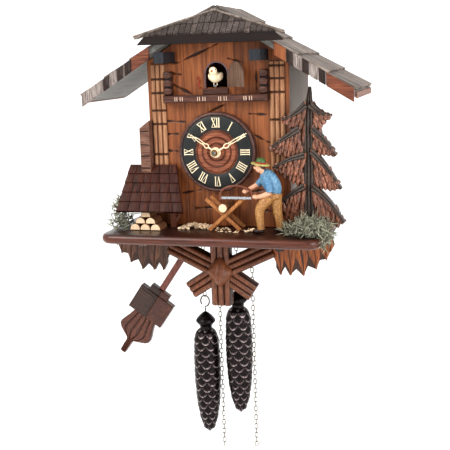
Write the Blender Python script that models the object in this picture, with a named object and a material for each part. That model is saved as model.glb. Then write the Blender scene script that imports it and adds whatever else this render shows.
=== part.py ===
"""A wall-hung cuckoo clock in the shape of a chalet, with two pine-cone weights and a pendulum.

The frame: +X is the viewer's right, -Y points to the viewer, +Z is up, and the wall is the plane Y = 0. The
origin is the hole of the hanger plate that the clock hangs by. Depths below are counted forwards or backwards
from the front panel's face, and heights from the middle of the dial, by at().
"""

import math

import bmesh
import bpy
from mathutils import Matrix, Vector

# Overall sizes
CASE_DEPTH = 0.104
CASE_HALF_WIDTH = 0.077
PANEL_THICK = 0.006
DIAL_BELOW_HANGER = 0.088
GAP = 0.0003
RUNNING_CLEARANCE = 0.00006
ROUND = 24

# Roof
RIDGE_HEIGHT = 0.1525
ROOF_HALF_SPAN = 0.150
ROOF_PITCH = math.radians(31.0)
ROOF_THICK = 0.0080
SHINGLE_ROWS = 5
SHINGLE_STEP = 0.0022
ROOF_OVERHANG = 0.0165
ROOF_BACK_INSET = 0.002
BARGE_THICK = 0.004
BARGE_HEIGHT = 0.0135
HIP_EAVE_HEIGHT = 0.1125
HIP_FASCIA = 0.0097
HIP_HALF_WIDTH = 0.078
HIP_TOP_HALF_WIDTH = 0.068
HIP_APEX_HEIGHT = 0.145
HIP_FRONT = -0.0243
HIP_APEX_BACK = -0.0020
HIP_THICK = 0.009
PURLIN_SIDE = 0.011
PURLIN_X = 0.0505
PURLIN_HEIGHT = 0.099
PURLIN_REACH = 0.0345

# Base board and what hangs under it
BASE_TOP = -0.081
BASE_THICK = 0.010
BASE_HALF_WIDTH = 0.1135
BASE_FRONT = -0.057
BASE_NOSE = 0.004
FLOOR_HOLE_HALF_WIDTH = 0.062
FLOOR_HOLE_FRONT = 0.008
FLOOR_HOLE_BACK = 0.084
STAR_CENTRE = -0.129
STAR_POST_HALF_WIDTH = 0.011
STAR_FOOT = -0.167
STAR_ARM_WIDTH = 0.020
STAR_LOW_ANGLE = math.radians(33.0)
STAR_HIGH_ANGLE = math.radians(25.5)
STAR_LOW_REACH = 0.0420
STAR_HIGH_REACH = 0.0630
STAR_BACK = 0.002
STAR_THICK = 0.014
BOSS_REACH = 0.010
BOSS_HALF_WIDTH = 0.0155
BOSS_HALF_HEIGHT = 0.018
LEAF_BACK = -0.003
LEAF_THICK = 0.005
LEAF_OUTER = 0.121

# Front of the case
ARCH_HALF_WIDTH = 0.012
ARCH_BOTTOM = 0.0667
ARCH_TOP = 0.0927
REED_X = 0.0648
REED_WIDTH = 0.0165
REED_PROUD = 0.0038
REED_BOTTOM = -0.024
REED_TOP = 0.092
CHIMNEY_INNER = 0.0735
CHIMNEY_OUTER = 0.0845
CHIMNEY_BOTTOM = -0.026
CHIMNEY_LOW_TOP = 0.026
CHIMNEY_HIGH_TOP = 0.034
CHIMNEY_DEPTH = 0.012
RAIL_HALF_WIDTH = 0.0562
RAIL_BOTTOM = 0.052
RAIL_TOP = 0.060
RAIL_DEPTH = 0.012
LOG_STACK_TOP = 0.085
LOG_STACK_WIDTH = 0.009
LOG_STACK_DEPTH = 0.009
SILL_HALF_WIDTH = 0.0135

# Dial and hands
BEZEL_RADIUS = 0.042
BEZEL_WIDTH = 0.0032
BEZEL_FRONT = -0.009
DIAL_FLOOR = -0.0065
CHAPTER_OUTER = BEZEL_RADIUS - BEZEL_WIDTH - GAP
CHAPTER_INNER = CHAPTER_OUTER - 0.015
CHAPTER_THICK = 0.0014
CENTRE_FRONT = -0.0085
ARBOR_RADIUS = 0.0020
PIPE_RADIUS = 0.0032
PIPE_FRONT = -0.0145
HOUR_HAND_LENGTH = BEZEL_RADIUS - 0.009
HOUR_HAND_BACK = -0.0110
MINUTE_HAND_LENGTH = BEZEL_RADIUS - 0.001
MINUTE_HAND_BACK = -0.0155
HAND_THICK = 0.0012
NUT_RADIUS = 0.0036
NUT_THICK = 0.0022
SHOWN_MINUTE = 10
SHOWN_HOUR = 10

# Movement
PLATE_THICK = 0.0012
FRONT_PLATE = 0.0120
BACK_PLATE = 0.0440
PLATE_HALF_WIDTH = 0.042
PLATE_BOTTOM = -0.066
PLATE_TOP = 0.036
PILLAR_RADIUS = 0.0025
PILLAR_INSET = 0.006
PIVOT_RADIUS = 0.0015
HOUR_WHEEL_RADIUS = 0.011
HOUR_WHEEL_BACK = 0.0100
WHEEL_THICK = 0.0012
ESCAPE_HEIGHT = 0.0150
ESCAPE_RADIUS = 0.0088
ESCAPE_BACK = 0.0330
ANCHOR_HEIGHT = 0.0290
LEADER_DEPTH = 0.0600
PENDULUM_PIVOT = -0.032
PENDULUM_DEPTH = 0.0660

# Chains and weights
CHAIN_DEPTH = 0.0180
CHAIN_RADIUS = 0.0017
CHAIN_WHEEL_X = 0.01925
CHAIN_WHEEL_HEIGHT = -0.050
SPROCKET_RADIUS = 0.00875
GREAT_WHEEL_RADIUS = 0.0145
WEIGHT_TRAVEL = 0.110
CONE_LENGTH = 0.146
CONE_RADIUS = 0.0153
CONE_TOPS = {"left": -0.183, "right": -0.156}
HOOK_HEIGHT = 0.019
HOOK_WIRE = 0.0008
FREE_ENDS = {"left": -0.346, "right": -0.342}

# Pendulum
SWING = math.radians(34.5)
ROD_WIDTH = 0.0076
ROD_THICK = 0.0045
BOB_THICK = 0.010
BOB_TOP = 0.173
BOB_END = 0.271

# Cuckoo
BIRD_PIVOT_X = -0.040
BIRD_PIVOT_DEPTH = 0.011
BIRD_DEPTH = -0.003
BIRD_HEIGHT = 0.0775
HEAD_LIFT = 0.0070
ARM_HEIGHT = 0.0635
DOOR_OPEN = math.radians(140.0)
DOOR_THICK = 0.0024
DOOR_HINGE_X = 0.0138
DOOR_HINGE_DEPTH = -0.0022

# Yard
TREE_BACK = -0.0075
TREE_THICK = 0.009
SHED_TOP = -0.0135
SHED_EAVE = -0.0585
SHED_TOP_DEPTH = -0.0046
SHED_EAVE_DEPTH = -0.042
SHED_THICK = 0.004
SHED_TOP_LEFT, SHED_TOP_RIGHT = -0.1003, -0.0472
SHED_EAVE_LEFT, SHED_EAVE_RIGHT = -0.1040, -0.0285
LOG_RADIUS = 0.0056
LOG_PITCH = 0.0116
LOG_ROW = 0.0068
LOG_FRONT = -0.033
LOG_BACK = -0.012
LOG_PILE_X = -0.075
HORSE_X = 0.012
HORSE_FOOT_HALF_SPAN = 0.0165
HORSE_TOP_HALF_SPAN = 0.0200
HORSE_HEIGHT = 0.0325
HORSE_LEG = 0.0038
HORSE_FRONT = -0.027
HORSE_BACK = -0.010
SAW_LOG_RADIUS = 0.0047
SAWYER_X = 0.060
SAWYER_DEPTH = -0.0265
SAW_REACH = 0.0160
SAW_LENGTH = 0.035
SAW_LIFT = 0.0045

# Voice
BELLOWS_X = 0.0600
BELLOWS_WIDTH = 0.018
BELLOWS_FRONT = 0.050
BELLOWS_BACK = 0.090
BELLOWS_BOTTOM = -0.060
BELLOWS_TOP = 0.030
LID_THICK = 0.002
LID_LIFT = 0.0006
GONG_DEPTH = 0.088
GONG_HEIGHT = 0.020
GONG_WIRE = 0.0012
GONG_INNER = 0.007
GONG_TURNS = 3
GONG_PITCH = 0.0052
HAMMER_X = 0.034
HAMMER_HEIGHT = 0.000


def at(x, depth, height):
    """A point in the clock's frame, from its depth behind the front face and its height over the dial."""
    return Vector((x, depth - CASE_DEPTH, height - DIAL_BELOW_HANGER))


def clear_scene():
    for thing in list(bpy.data.objects):
        bpy.data.objects.remove(thing, do_unlink=True)


def material(name, colour, roughness=0.6, metallic=0.0):
    made = bpy.data.materials.get(name) or bpy.data.materials.new(name)
    made.use_nodes = True
    shader = made.node_tree.nodes["Principled BSDF"]
    shader.inputs["Base Color"].default_value = (*colour, 1.0)
    shader.inputs["Roughness"].default_value = roughness
    shader.inputs["Metallic"].default_value = metallic
    made.diffuse_color = (*colour, 1.0)
    return made


WOOD_ORANGE = material("orange_brown_wood", (0.36, 0.14, 0.05))
WOOD_RED = material("red_brown_wood", (0.20, 0.06, 0.03))
WOOD_DARK = material("dark_wood", (0.05, 0.025, 0.018))
WOOD_PALE = material("pale_wood", (0.62, 0.45, 0.26))
SHINGLE = material("weathered_shingle", (0.22, 0.17, 0.14), 0.8)
GREY_PAINT = material("grey_paint", (0.22, 0.22, 0.24), 0.7)
BLACK_RING = material("black_ring", (0.02, 0.024, 0.024), 0.4)
CREAM = material("cream_plastic", (0.85, 0.72, 0.48), 0.45)
BRASS = material("brass", (0.70, 0.50, 0.22), 0.3, 1.0)
STEEL = material("steel", (0.45, 0.45, 0.46), 0.35, 1.0)
IRON = material("dark_cast_iron", (0.04, 0.035, 0.035), 0.4, 0.6)
PAINTED = material("painted_wood", (0.10, 0.30, 0.50), 0.5)


def finish(name, bm, surface, smooth=False):
    """Turns a bmesh into an object of that name, with its faces pointing out."""
    bmesh.ops.recalc_face_normals(bm, faces=bm.faces)
    mesh = bpy.data.meshes.new(name)
    bm.to_mesh(mesh)
    bm.free()
    mesh.materials.append(surface)
    if smooth:
        mesh.shade_smooth()
        mesh.set_sharp_from_angle(angle=math.radians(35))
    made = bpy.data.objects.new(name, mesh)
    bpy.context.scene.collection.objects.link(made)
    return made


def prism(name, outline, start, end, surface, smooth=False):
    """A flat outline of (x, height) points, carried from one depth to another."""
    bm = bmesh.new()
    near = [bm.verts.new(at(x, start, z)) for x, z in outline]
    far = [bm.verts.new(at(x, end, z)) for x, z in outline]
    bm.faces.new(near)
    bm.faces.new(far)
    for i in range(len(outline)):
        j = (i + 1) % len(outline)
        bm.faces.new((near[i], near[j], far[j], far[i]))
    return finish(name, bm, surface, smooth)


def block(name, low, high, surface):
    """A box between two corners, each given as (x, depth, height)."""
    outline = [(low[0], low[2]), (high[0], low[2]), (high[0], high[2]), (low[0], high[2])]
    return prism(name, outline, low[1], high[1], surface)


def hull(name, points, surface):
    """The convex solid over points given as (x, depth, height)."""
    bm = bmesh.new()
    for point in points:
        bm.verts.new(at(*point))
    made = bmesh.ops.convex_hull(bm, input=bm.verts)
    unused = set(made["geom_interior"]) | set(made["geom_unused"])
    loose = [v for v in unused if isinstance(v, bmesh.types.BMVert)]
    bmesh.ops.delete(bm, geom=loose, context="VERTS")
    return finish(name, bm, surface)


def lathe(name, profile, x, height, surface, steps=ROUND):
    """A solid turned about a front-to-back axis, from (radius, depth) points; a radius of 0 closes an end."""
    return revolve(name, profile, surface, steps, lambda r, a, d: at(x + r * math.cos(a), d, height + r * math.sin(a)))


def turned(name, profile, x, depth, surface, steps=ROUND):
    """A solid turned about an upright axis, from (radius, height) points."""
    return revolve(name, profile, surface, steps, lambda r, a, z: at(x + r * math.cos(a), depth + r * math.sin(a), z))


def revolve(name, profile, surface, steps, place):
    """Rings of points joined in order. Where neither end has radius 0, the profile closes on itself."""
    bm = bmesh.new()
    rings = []
    for radius, along in profile:
        if radius == 0:
            rings.append([bm.verts.new(place(0, 0, along))])
            continue
        angles = [2 * math.pi * i / steps for i in range(steps)]
        rings.append([bm.verts.new(place(radius, a, along)) for a in angles])
    pairs = list(zip(rings, rings[1:]))
    if profile[0][0] and profile[-1][0]:
        pairs.append((rings[-1], rings[0]))
    for one, two in pairs:
        for i in range(steps):
            corners = [one[i % len(one)], one[(i + 1) % len(one)], two[(i + 1) % len(two)], two[i % len(two)]]
            unique = list(dict.fromkeys(corners))
            if len(unique) > 2:
                bm.faces.new(unique)
    return finish(name, bm, surface, smooth=True)


def rod(name, start, end, radius, surface, steps=12, tip=None):
    """A round bar between two (x, depth, height) points, which may taper to another radius at its end."""
    a, b = at(*start), at(*end)
    bm = bmesh.new()
    turn = (b - a).to_track_quat("Z", "Y").to_matrix().to_4x4()
    bmesh.ops.create_cone(
        bm,
        cap_ends=True,
        segments=steps,
        radius1=radius,
        radius2=radius if tip is None else tip,
        depth=(b - a).length,
        matrix=Matrix.Translation((a + b) / 2) @ turn,
    )
    return finish(name, bm, surface, smooth=True)


def ball(name, centre, radii, surface, turn=None, rings=8):
    """An ellipsoid about a (x, depth, height) point, which may be turned by a matrix."""
    bm = bmesh.new()
    shape = Matrix.Diagonal((*radii, 1.0))
    place = Matrix.Translation(at(*centre)) @ (turn or Matrix()) @ shape
    bmesh.ops.create_uvsphere(bm, u_segments=2 * rings, v_segments=rings, radius=1.0, matrix=place)
    return finish(name, bm, surface, smooth=True)


def wire(name, points, radius, surface, sides=2):
    """A round wire or cord through (x, depth, height) points."""
    curve = bpy.data.curves.new(name, "CURVE")
    curve.dimensions = "3D"
    curve.bevel_depth = radius
    curve.bevel_resolution = sides
    curve.use_fill_caps = True
    spline = curve.splines.new("POLY")
    spline.points.add(len(points) - 1)
    for point, place in zip(spline.points, points):
        point.co = (*at(*place), 1.0)
    curve.materials.append(surface)
    made = bpy.data.objects.new(name, curve)
    bpy.context.scene.collection.objects.link(made)
    return made


def solid_of(thing):
    """The object as a plain mesh object, so that a Boolean can use it."""
    if thing.type == "MESH":
        return thing
    graph = bpy.context.evaluated_depsgraph_get()
    mesh = bpy.data.meshes.new_from_object(thing.evaluated_get(graph))
    name, surface = thing.name, thing.data.materials[0]
    bpy.data.objects.remove(thing, do_unlink=True)
    bm = bmesh.new()
    bm.from_mesh(mesh)
    bmesh.ops.remove_doubles(bm, verts=bm.verts, dist=1e-7)
    return finish(name, bm, surface, smooth=True)


def boolean(target, tools, operation):
    """Joins the tools to the target, or cuts them from it, and leaves one object with a plain mesh."""
    for tool in [solid_of(t) for t in tools]:
        change = target.modifiers.new("change", "BOOLEAN")
        change.operation = operation
        change.solver = "EXACT"
        change.object = tool
        graph = bpy.context.evaluated_depsgraph_get()
        mesh = bpy.data.meshes.new_from_object(target.evaluated_get(graph))
        target.modifiers.clear()
        target.data = mesh
        bpy.data.objects.remove(tool, do_unlink=True)
    return target


def join(target, *tools):
    return boolean(solid_of(target), tools, "UNION")


def cut(target, *tools):
    return boolean(solid_of(target), tools, "DIFFERENCE")


def pivot_at(thing, x, depth, height):
    """Moves an object's origin onto its joint's axis, with its shape left where it is."""
    place = at(x, depth, height)
    thing.data.transform(Matrix.Translation(-place))
    thing.location = place
    return thing


def roof_top(x):
    """The height of the roof boards' upper face at a distance from the middle."""
    return RIDGE_HEIGHT - abs(x) * math.tan(ROOF_PITCH)


def roof_under(x):
    return roof_top(x) - ROOF_THICK / math.cos(ROOF_PITCH)


def gable(half_width, bottom, top_cut=0.012):
    """The outline of a wall that ends under the roof, with its point cut flat."""
    side = roof_under(half_width) - 2 * GAP
    peak = roof_under(top_cut) - 2 * GAP
    return [(-half_width, bottom), (half_width, bottom), (half_width, side), (top_cut, peak), (-top_cut, peak), (-half_width, side)]


def arch(half_width, bottom, top, steps=10):
    """An upright outline with a half-round head."""
    spring = top - half_width
    turn = [math.pi * i / steps for i in range(steps + 1)]
    head = [(half_width * math.cos(a), spring + half_width * math.sin(a)) for a in turn]
    return [(-half_width, bottom), (half_width, bottom)] + head


def case():
    floor = BASE_TOP + GAP
    panel = prism("front_panel", gable(CASE_HALF_WIDTH, floor), 0, PANEL_THICK, WOOD_ORANGE)
    door = prism("door_cut", arch(ARCH_HALF_WIDTH, ARCH_BOTTOM, ARCH_TOP), -0.01, 0.02, WOOD_DARK)
    pipe = rod("pipe_cut", (0, -0.01, 0), (0, 0.02, 0), PIPE_RADIUS + 2 * GAP, WOOD_DARK, ROUND)
    cut(panel, door, pipe)
    back_front = CASE_DEPTH - PANEL_THICK - 5 * GAP
    back = prism("back_panel", gable(CASE_HALF_WIDTH, floor), back_front, CASE_DEPTH - 5 * GAP, WOOD_RED)
    nail = rod("nail_cut", (0, back_front - 0.01, DIAL_BELOW_HANGER), (0, CASE_DEPTH + 0.01, DIAL_BELOW_HANGER), 0.006, WOOD_DARK)
    cut(back, nail)
    inner = CASE_HALF_WIDTH - PANEL_THICK
    wall_top = roof_under(CASE_HALF_WIDTH) - 2 * GAP
    start, end = PANEL_THICK + GAP, back_front - GAP
    block("left_wall", (-CASE_HALF_WIDTH, start, floor), (-inner, end, wall_top), GREY_PAINT)
    block("right_wall", (inner, start, floor), (CASE_HALF_WIDTH, end, wall_top), GREY_PAINT)


def hanger():
    plate_back = CASE_DEPTH
    plate_front = CASE_DEPTH - 4 * GAP
    size = 0.013
    plate = block(
        "hanger_plate",
        (-size, plate_front, DIAL_BELOW_HANGER - size),
        (size, plate_back, DIAL_BELOW_HANGER + size),
        STEEL,
    )
    hole = rod("hole", (0, plate_front - 0.01, DIAL_BELOW_HANGER), (0, plate_back + 0.01, DIAL_BELOW_HANGER), 0.0055, STEEL)
    cut(plate, hole)


def base_board():
    """A board whose front and side edges are rounded to a nose, with an open floor under the case."""
    bm = bmesh.new()
    loops = []
    back = CASE_DEPTH - 5 * GAP
    steps = 6
    for i in range(steps + 1):
        share = i / steps
        out = BASE_NOSE * math.sin(math.pi * share)
        x, front, z = BASE_HALF_WIDTH + out, BASE_FRONT - out, BASE_TOP - BASE_THICK * share
        loops.append([bm.verts.new(at(*p)) for p in ((-x, front, z), (x, front, z), (x, back, z), (-x, back, z))])
    bm.faces.new(loops[0])
    bm.faces.new(loops[-1])
    for one, two in zip(loops, loops[1:]):
        for i in range(4):
            bm.faces.new((one[i], one[(i + 1) % 4], two[(i + 1) % 4], two[i]))
    board = finish("base_board", bm, WOOD_RED)
    half = FLOOR_HOLE_HALF_WIDTH
    hole = block("hole", (-half, FLOOR_HOLE_FRONT, -0.2), (half, FLOOR_HOLE_BACK, 0), WOOD_RED)
    cut(board, hole)


def shingled(side):
    """One roof slope's section: a flat underside, and rows of shingles that step up towards the eave."""
    end, rows = ROOF_HALF_SPAN, SHINGLE_ROWS
    start = GAP
    top = []
    for row in range(rows):
        near = start + (end - start) * row / rows
        far = start + (end - start) * (row + 1) / rows
        top.append((near, roof_top(near) - SHINGLE_STEP / 2))
        top.append((far, roof_top(far) + SHINGLE_STEP / 2))
    under = [(end - 0.004, roof_under(end - 0.004)), (start, roof_under(start))]
    return [(side * x, z) for x, z in top + under]


def roof():
    back = CASE_DEPTH - ROOF_BACK_INSET
    slope = HIP_THICK / math.cos(math.radians(60))
    for name, side in (("roof_left", -1), ("roof_right", 1)):
        slab = prism(name, shingled(side), -ROOF_OVERHANG, back, SHINGLE)
        foot = (HIP_FRONT + slope - GAP, HIP_EAVE_HEIGHT - GAP)
        rise = HIP_APEX_HEIGHT - HIP_EAVE_HEIGHT
        run = HIP_APEX_BACK - HIP_FRONT - HIP_THICK / 2
        top = (foot[0] + 2 * run, foot[1] + 2 * rise)
        section = [(-0.1, foot[1]), foot, top, (-0.1, top[1])]
        bm = bmesh.new()
        ends = [[bm.verts.new(at(x, d, z)) for d, z in section] for x in (-0.2, 0.2)]
        bm.faces.new(ends[0])
        bm.faces.new(ends[1])
        for i in range(4):
            j = (i + 1) % 4
            bm.faces.new((ends[0][i], ends[0][j], ends[1][j], ends[1][i]))
        cut(slab, finish("hip_cut", bm, SHINGLE))
    run = HIP_APEX_BACK - HIP_FRONT - HIP_THICK / 2
    foot = HIP_FRONT + slope - 2 * GAP
    low, high = HIP_EAVE_HEIGHT, HIP_EAVE_HEIGHT + HIP_FASCIA
    inner = HIP_HALF_WIDTH - 0.012
    hull(
        "roof_hip",
        [
            (-HIP_HALF_WIDTH, HIP_FRONT, low),
            (HIP_HALF_WIDTH, HIP_FRONT, low),
            (-HIP_TOP_HALF_WIDTH, HIP_FRONT, high),
            (HIP_TOP_HALF_WIDTH, HIP_FRONT, high),
            (-inner, -ROOF_OVERHANG - BARGE_THICK - 2 * GAP, low),
            (inner, -ROOF_OVERHANG - BARGE_THICK - 2 * GAP, low),
            (-0.030, foot, low),
            (0.030, foot, low),
            (0, HIP_APEX_BACK, HIP_APEX_HEIGHT),
        ],
        SHINGLE,
    )
    front = -ROOF_OVERHANG - GAP
    for name, side in (("barge_left", -1), ("barge_right", 1)):
        inner = (RIDGE_HEIGHT - HIP_EAVE_HEIGHT) / math.tan(ROOF_PITCH) + 0.002
        outer = ROOF_HALF_SPAN - 0.002
        drop = 0.001
        outline = [
            (side * inner, roof_top(inner) - drop),
            (side * outer, roof_top(outer) - drop),
            (side * (outer - 0.005), roof_top(outer) - drop - BARGE_HEIGHT + 0.003),
            (side * inner, roof_top(inner) - drop - BARGE_HEIGHT),
        ]
        prism(name, outline, front - BARGE_THICK, front, WOOD_RED)
    half = PURLIN_SIDE / 2
    for name, side in (("purlin_left", -1), ("purlin_right", 1)):
        x = side * PURLIN_X
        block(name, (x - half, -PURLIN_REACH, PURLIN_HEIGHT - half), (x + half, -GAP, PURLIN_HEIGHT + half), GREY_PAINT)


def reeds():
    """Three upright half-round reeds side by side on a thin backing, with pointed lower ends."""
    for name, side in (("reeds_left", -1), ("reeds_right", 1)):
        radius = REED_WIDTH / 6
        low = side * REED_X - REED_WIDTH / 2
        backing = block(name, (low, -0.0012, REED_BOTTOM + 0.004), (low + REED_WIDTH, -GAP, REED_TOP), WOOD_PALE)
        for i in range(3):
            x = low + radius * (2 * i + 1)
            reach = -(REED_PROUD - radius * 0.9)
            column = rod(
                "reed",
                (x, reach, REED_BOTTOM + 0.004),
                (x, reach, REED_TOP - 0.001),
                radius * 1.04,
                WOOD_PALE,
                10,
            )
            point = rod("point", (x, reach, REED_BOTTOM + 0.0045), (x, reach, REED_BOTTOM), radius * 0.98, WOOD_PALE, 8, 0.0004)
            trim = block("trim", (x - 0.01, -GAP, -0.2), (x + 0.01, 0.02, 0.2), WOOD_PALE)
            join(column, point)
            cut(column, trim)
            join(backing, column)


def chimney():
    outline = [
        (-CHIMNEY_OUTER, CHIMNEY_BOTTOM),
        (-CHIMNEY_INNER, CHIMNEY_BOTTOM),
        (-CHIMNEY_INNER, CHIMNEY_HIGH_TOP),
        (-CHIMNEY_OUTER, CHIMNEY_LOW_TOP),
    ]
    stack = prism("chimney", outline, -CHIMNEY_DEPTH, -GAP, WOOD_PALE)
    cut(stack, shed_slab("shed_cut", 2 * GAP))


def balcony():
    rail = block("balcony", (-RAIL_HALF_WIDTH, -RAIL_DEPTH, RAIL_BOTTOM), (RAIL_HALF_WIDTH, -GAP, RAIL_TOP), WOOD_DARK)
    sill = block("sill", (-SILL_HALF_WIDTH, -0.006, RAIL_TOP - 0.002), (SILL_HALF_WIDTH, -GAP, ARCH_BOTTOM - GAP), WOOD_RED)
    stacks = []
    for side in (-1, 1):
        x = side * (REED_X - REED_WIDTH / 2 - GAP - LOG_STACK_WIDTH / 2)
        half = LOG_STACK_WIDTH / 2
        stack = block("stack", (x - half, -LOG_STACK_DEPTH, RAIL_TOP - 0.001), (x + half, -GAP, LOG_STACK_TOP), WOOD_PALE)
        stacks.append(stack)
    join(rail, sill, *stacks)


def dial():
    edge = BEZEL_RADIUS - BEZEL_WIDTH
    profile = [
        (PIPE_RADIUS + 2 * GAP, -GAP),
        (BEZEL_RADIUS, -GAP),
        (BEZEL_RADIUS, BEZEL_FRONT + 0.001),
        (BEZEL_RADIUS - 0.001, BEZEL_FRONT),
        (edge, BEZEL_FRONT),
        (edge, DIAL_FLOOR),
        (CHAPTER_INNER - GAP, DIAL_FLOOR),
        (CHAPTER_INNER - GAP, CENTRE_FRONT),
        (PIPE_RADIUS + 2 * GAP, CENTRE_FRONT),
    ]
    lathe("dial_board", profile, 0, 0, WOOD_RED, 48)
    front = DIAL_FLOOR - GAP
    ring = [
        (CHAPTER_INNER, front),
        (CHAPTER_OUTER, front),
        (CHAPTER_OUTER, front - CHAPTER_THICK),
        (CHAPTER_INNER, front - CHAPTER_THICK),
    ]
    lathe("chapter_ring", ring, 0, 0, BLACK_RING, 48)


def hand(name, length, back, bore, turn):
    """A pierced leaf-shaped clock hand: a boss, a slim neck, a broad leaf with a window, and a point."""
    half = length * 0.085
    outline = [
        (-0.0011, 0),
        (-0.0011, length * 0.42),
        (-half, length * 0.58),
        (-half * 1.25, length * 0.72),
        (-half * 0.6, length * 0.86),
        (0, length),
        (half * 0.6, length * 0.86),
        (half * 1.25, length * 0.72),
        (half, length * 0.58),
        (0.0011, length * 0.42),
        (0.0011, 0),
    ]
    turned_outline = [(x * math.cos(turn) + z * math.sin(turn), z * math.cos(turn) - x * math.sin(turn)) for x, z in outline]
    blade = prism(name, turned_outline, back - HAND_THICK, back, CREAM)
    boss = rod("boss", (0, back - HAND_THICK - 0.0001, 0), (0, back + 0.0001, 0), bore + 0.0022, CREAM, ROUND)
    hole = rod("bore", (0, back - 0.01, 0), (0, back + 0.01, 0), bore, CREAM, ROUND)
    join(blade, boss)
    cut(blade, hole)
    return blade


def gear(name, radius, teeth, bore, back, x, height, surface=BRASS, depth_of_tooth=0.0009, blades=False):
    """A flat toothed wheel; blades leans the teeth, as on an escape wheel."""
    outline = []
    pitch = 2 * math.pi / teeth
    for i in range(teeth):
        a = i * pitch
        lean = 0.45 if blades else 0.0
        outline.append((radius - depth_of_tooth, a))
        outline.append((radius, a + pitch * (0.25 + lean)))
        if not blades:
            outline.append((radius, a + pitch * 0.55))
        outline.append((radius - depth_of_tooth, a + pitch * 0.80))
    points = [(x + r * math.cos(a), height + r * math.sin(a)) for r, a in outline]
    wheel = prism(name, points, back - WHEEL_THICK, back, surface)
    if bore:
        cut(wheel, rod("bore", (x, back - 0.01, height), (x, back + 0.01, height), bore, surface, ROUND))
    return wheel


def movement():
    corner_x = PLATE_HALF_WIDTH - PILLAR_INSET
    corners = [(sx * corner_x, z) for sx in (-1, 1) for z in (PLATE_BOTTOM + PILLAR_INSET, PLATE_TOP - PILLAR_INSET)]
    pivots = [(-CHAIN_WHEEL_X, CHAIN_WHEEL_HEIGHT), (CHAIN_WHEEL_X, CHAIN_WHEEL_HEIGHT), (0, ESCAPE_HEIGHT), (0, ANCHOR_HEIGHT)]
    for name, front in (("movement_front_plate", FRONT_PLATE), ("movement_back_plate", BACK_PLATE)):
        plate = block(name, (-PLATE_HALF_WIDTH, front, PLATE_BOTTOM), (PLATE_HALF_WIDTH, front + PLATE_THICK, PLATE_TOP), BRASS)
        holes = [rod("hole", (x, front - 0.01, z), (x, front + 0.01, z), PIVOT_RADIUS + RUNNING_CLEARANCE, BRASS, ROUND) for x, z in pivots]
        holes.append(rod("hole", (0, front - 0.01, 0), (0, front + 0.01, 0), ARBOR_RADIUS + RUNNING_CLEARANCE, BRASS, ROUND))
        cut(plate, *holes)
        if front == FRONT_PLATE:
            start, end = PANEL_THICK + GAP, front + 0.0004
        else:
            start, end = FRONT_PLATE + PLATE_THICK + GAP, front + 0.0004
        join(plate, *[rod("pillar", (x, start, z), (x, end, z), PILLAR_RADIUS, BRASS) for x, z in corners])


def hands_and_motion_work():
    minute = 2 * math.pi * SHOWN_MINUTE / 60
    hour = 2 * math.pi * (SHOWN_HOUR + SHOWN_MINUTE / 60) / 12
    nut_back = MINUTE_HAND_BACK - HAND_THICK - GAP
    arbor_front = nut_back - NUT_THICK + 0.0006
    lathe(
        "centre_arbor",
        [(0, BACK_PLATE + PLATE_THICK), (ARBOR_RADIUS, BACK_PLATE + PLATE_THICK), (ARBOR_RADIUS, arbor_front), (0, arbor_front)],
        0,
        0,
        STEEL,
    )
    hand("minute_hand", MINUTE_HAND_LENGTH, MINUTE_HAND_BACK, ARBOR_RADIUS + GAP, minute)
    bore = ARBOR_RADIUS + GAP
    nut = [(bore, nut_back), (NUT_RADIUS, nut_back), (NUT_RADIUS * 0.8, nut_back - NUT_THICK), (bore, nut_back - NUT_THICK)]
    lathe("hand_nut", nut, 0, 0, BRASS)
    wheel = gear("hour_wheel", HOUR_WHEEL_RADIUS, 24, 0, HOUR_WHEEL_BACK, 0, 0)
    pipe = rod("pipe", (0, HOUR_WHEEL_BACK - 0.0002, 0), (0, PIPE_FRONT, 0), PIPE_RADIUS, BRASS, ROUND)
    inner = rod("bore", (0, -0.05, 0), (0, 0.05, 0), ARBOR_RADIUS + RUNNING_CLEARANCE, BRASS, ROUND)
    join(wheel, pipe)
    cut(wheel, inner)
    hand("hour_hand", HOUR_HAND_LENGTH, HOUR_HAND_BACK, PIPE_RADIUS + GAP, hour)


def escapement():
    wheel = gear("escape_wheel", ESCAPE_RADIUS, 20, 0, ESCAPE_BACK, 0, ESCAPE_HEIGHT, BRASS, 0.0020, True)
    arbor = rod(
        "arbor",
        (0, FRONT_PLATE + 0.0002, ESCAPE_HEIGHT),
        (0, BACK_PLATE + PLATE_THICK - 0.0002, ESCAPE_HEIGHT),
        PIVOT_RADIUS,
        STEEL,
        ROUND,
    )
    join(wheel, arbor)
    top = ANCHOR_HEIGHT
    reach = ESCAPE_RADIUS + 0.0020
    knee = reach - 0.0030
    half = [
        (reach, ESCAPE_HEIGHT + 0.0005),
        (reach + 0.0014, ESCAPE_HEIGHT + 0.0010),
        (knee + 0.0020, top - 0.0020),
        (0.0022, top + 0.0024),
    ]
    arch_foot = top - 0.0035
    anchor = prism(
        "anchor_and_leader",
        [(-knee, arch_foot), (knee, arch_foot)] + half + [(-x, z) for x, z in reversed(half)],
        ESCAPE_BACK - WHEEL_THICK,
        ESCAPE_BACK,
        STEEL,
    )
    pin_end = PENDULUM_DEPTH + ROD_THICK / 2 + 0.0015
    shaft = rod("shaft", (0, FRONT_PLATE + 0.0002, top), (0, LEADER_DEPTH + 0.001, top), PIVOT_RADIUS, STEEL, ROUND)
    crutch = rod("crutch", (0, LEADER_DEPTH, top), (0, LEADER_DEPTH, PENDULUM_PIVOT - 0.001), 0.0011, STEEL)
    pin = rod("pin", (0, LEADER_DEPTH - 0.0005, PENDULUM_PIVOT), (0, pin_end, PENDULUM_PIVOT), 0.0010, STEEL, ROUND)
    join(anchor, shaft, crutch, pin)
    pivot_at(anchor, 0, LEADER_DEPTH, top)


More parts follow.
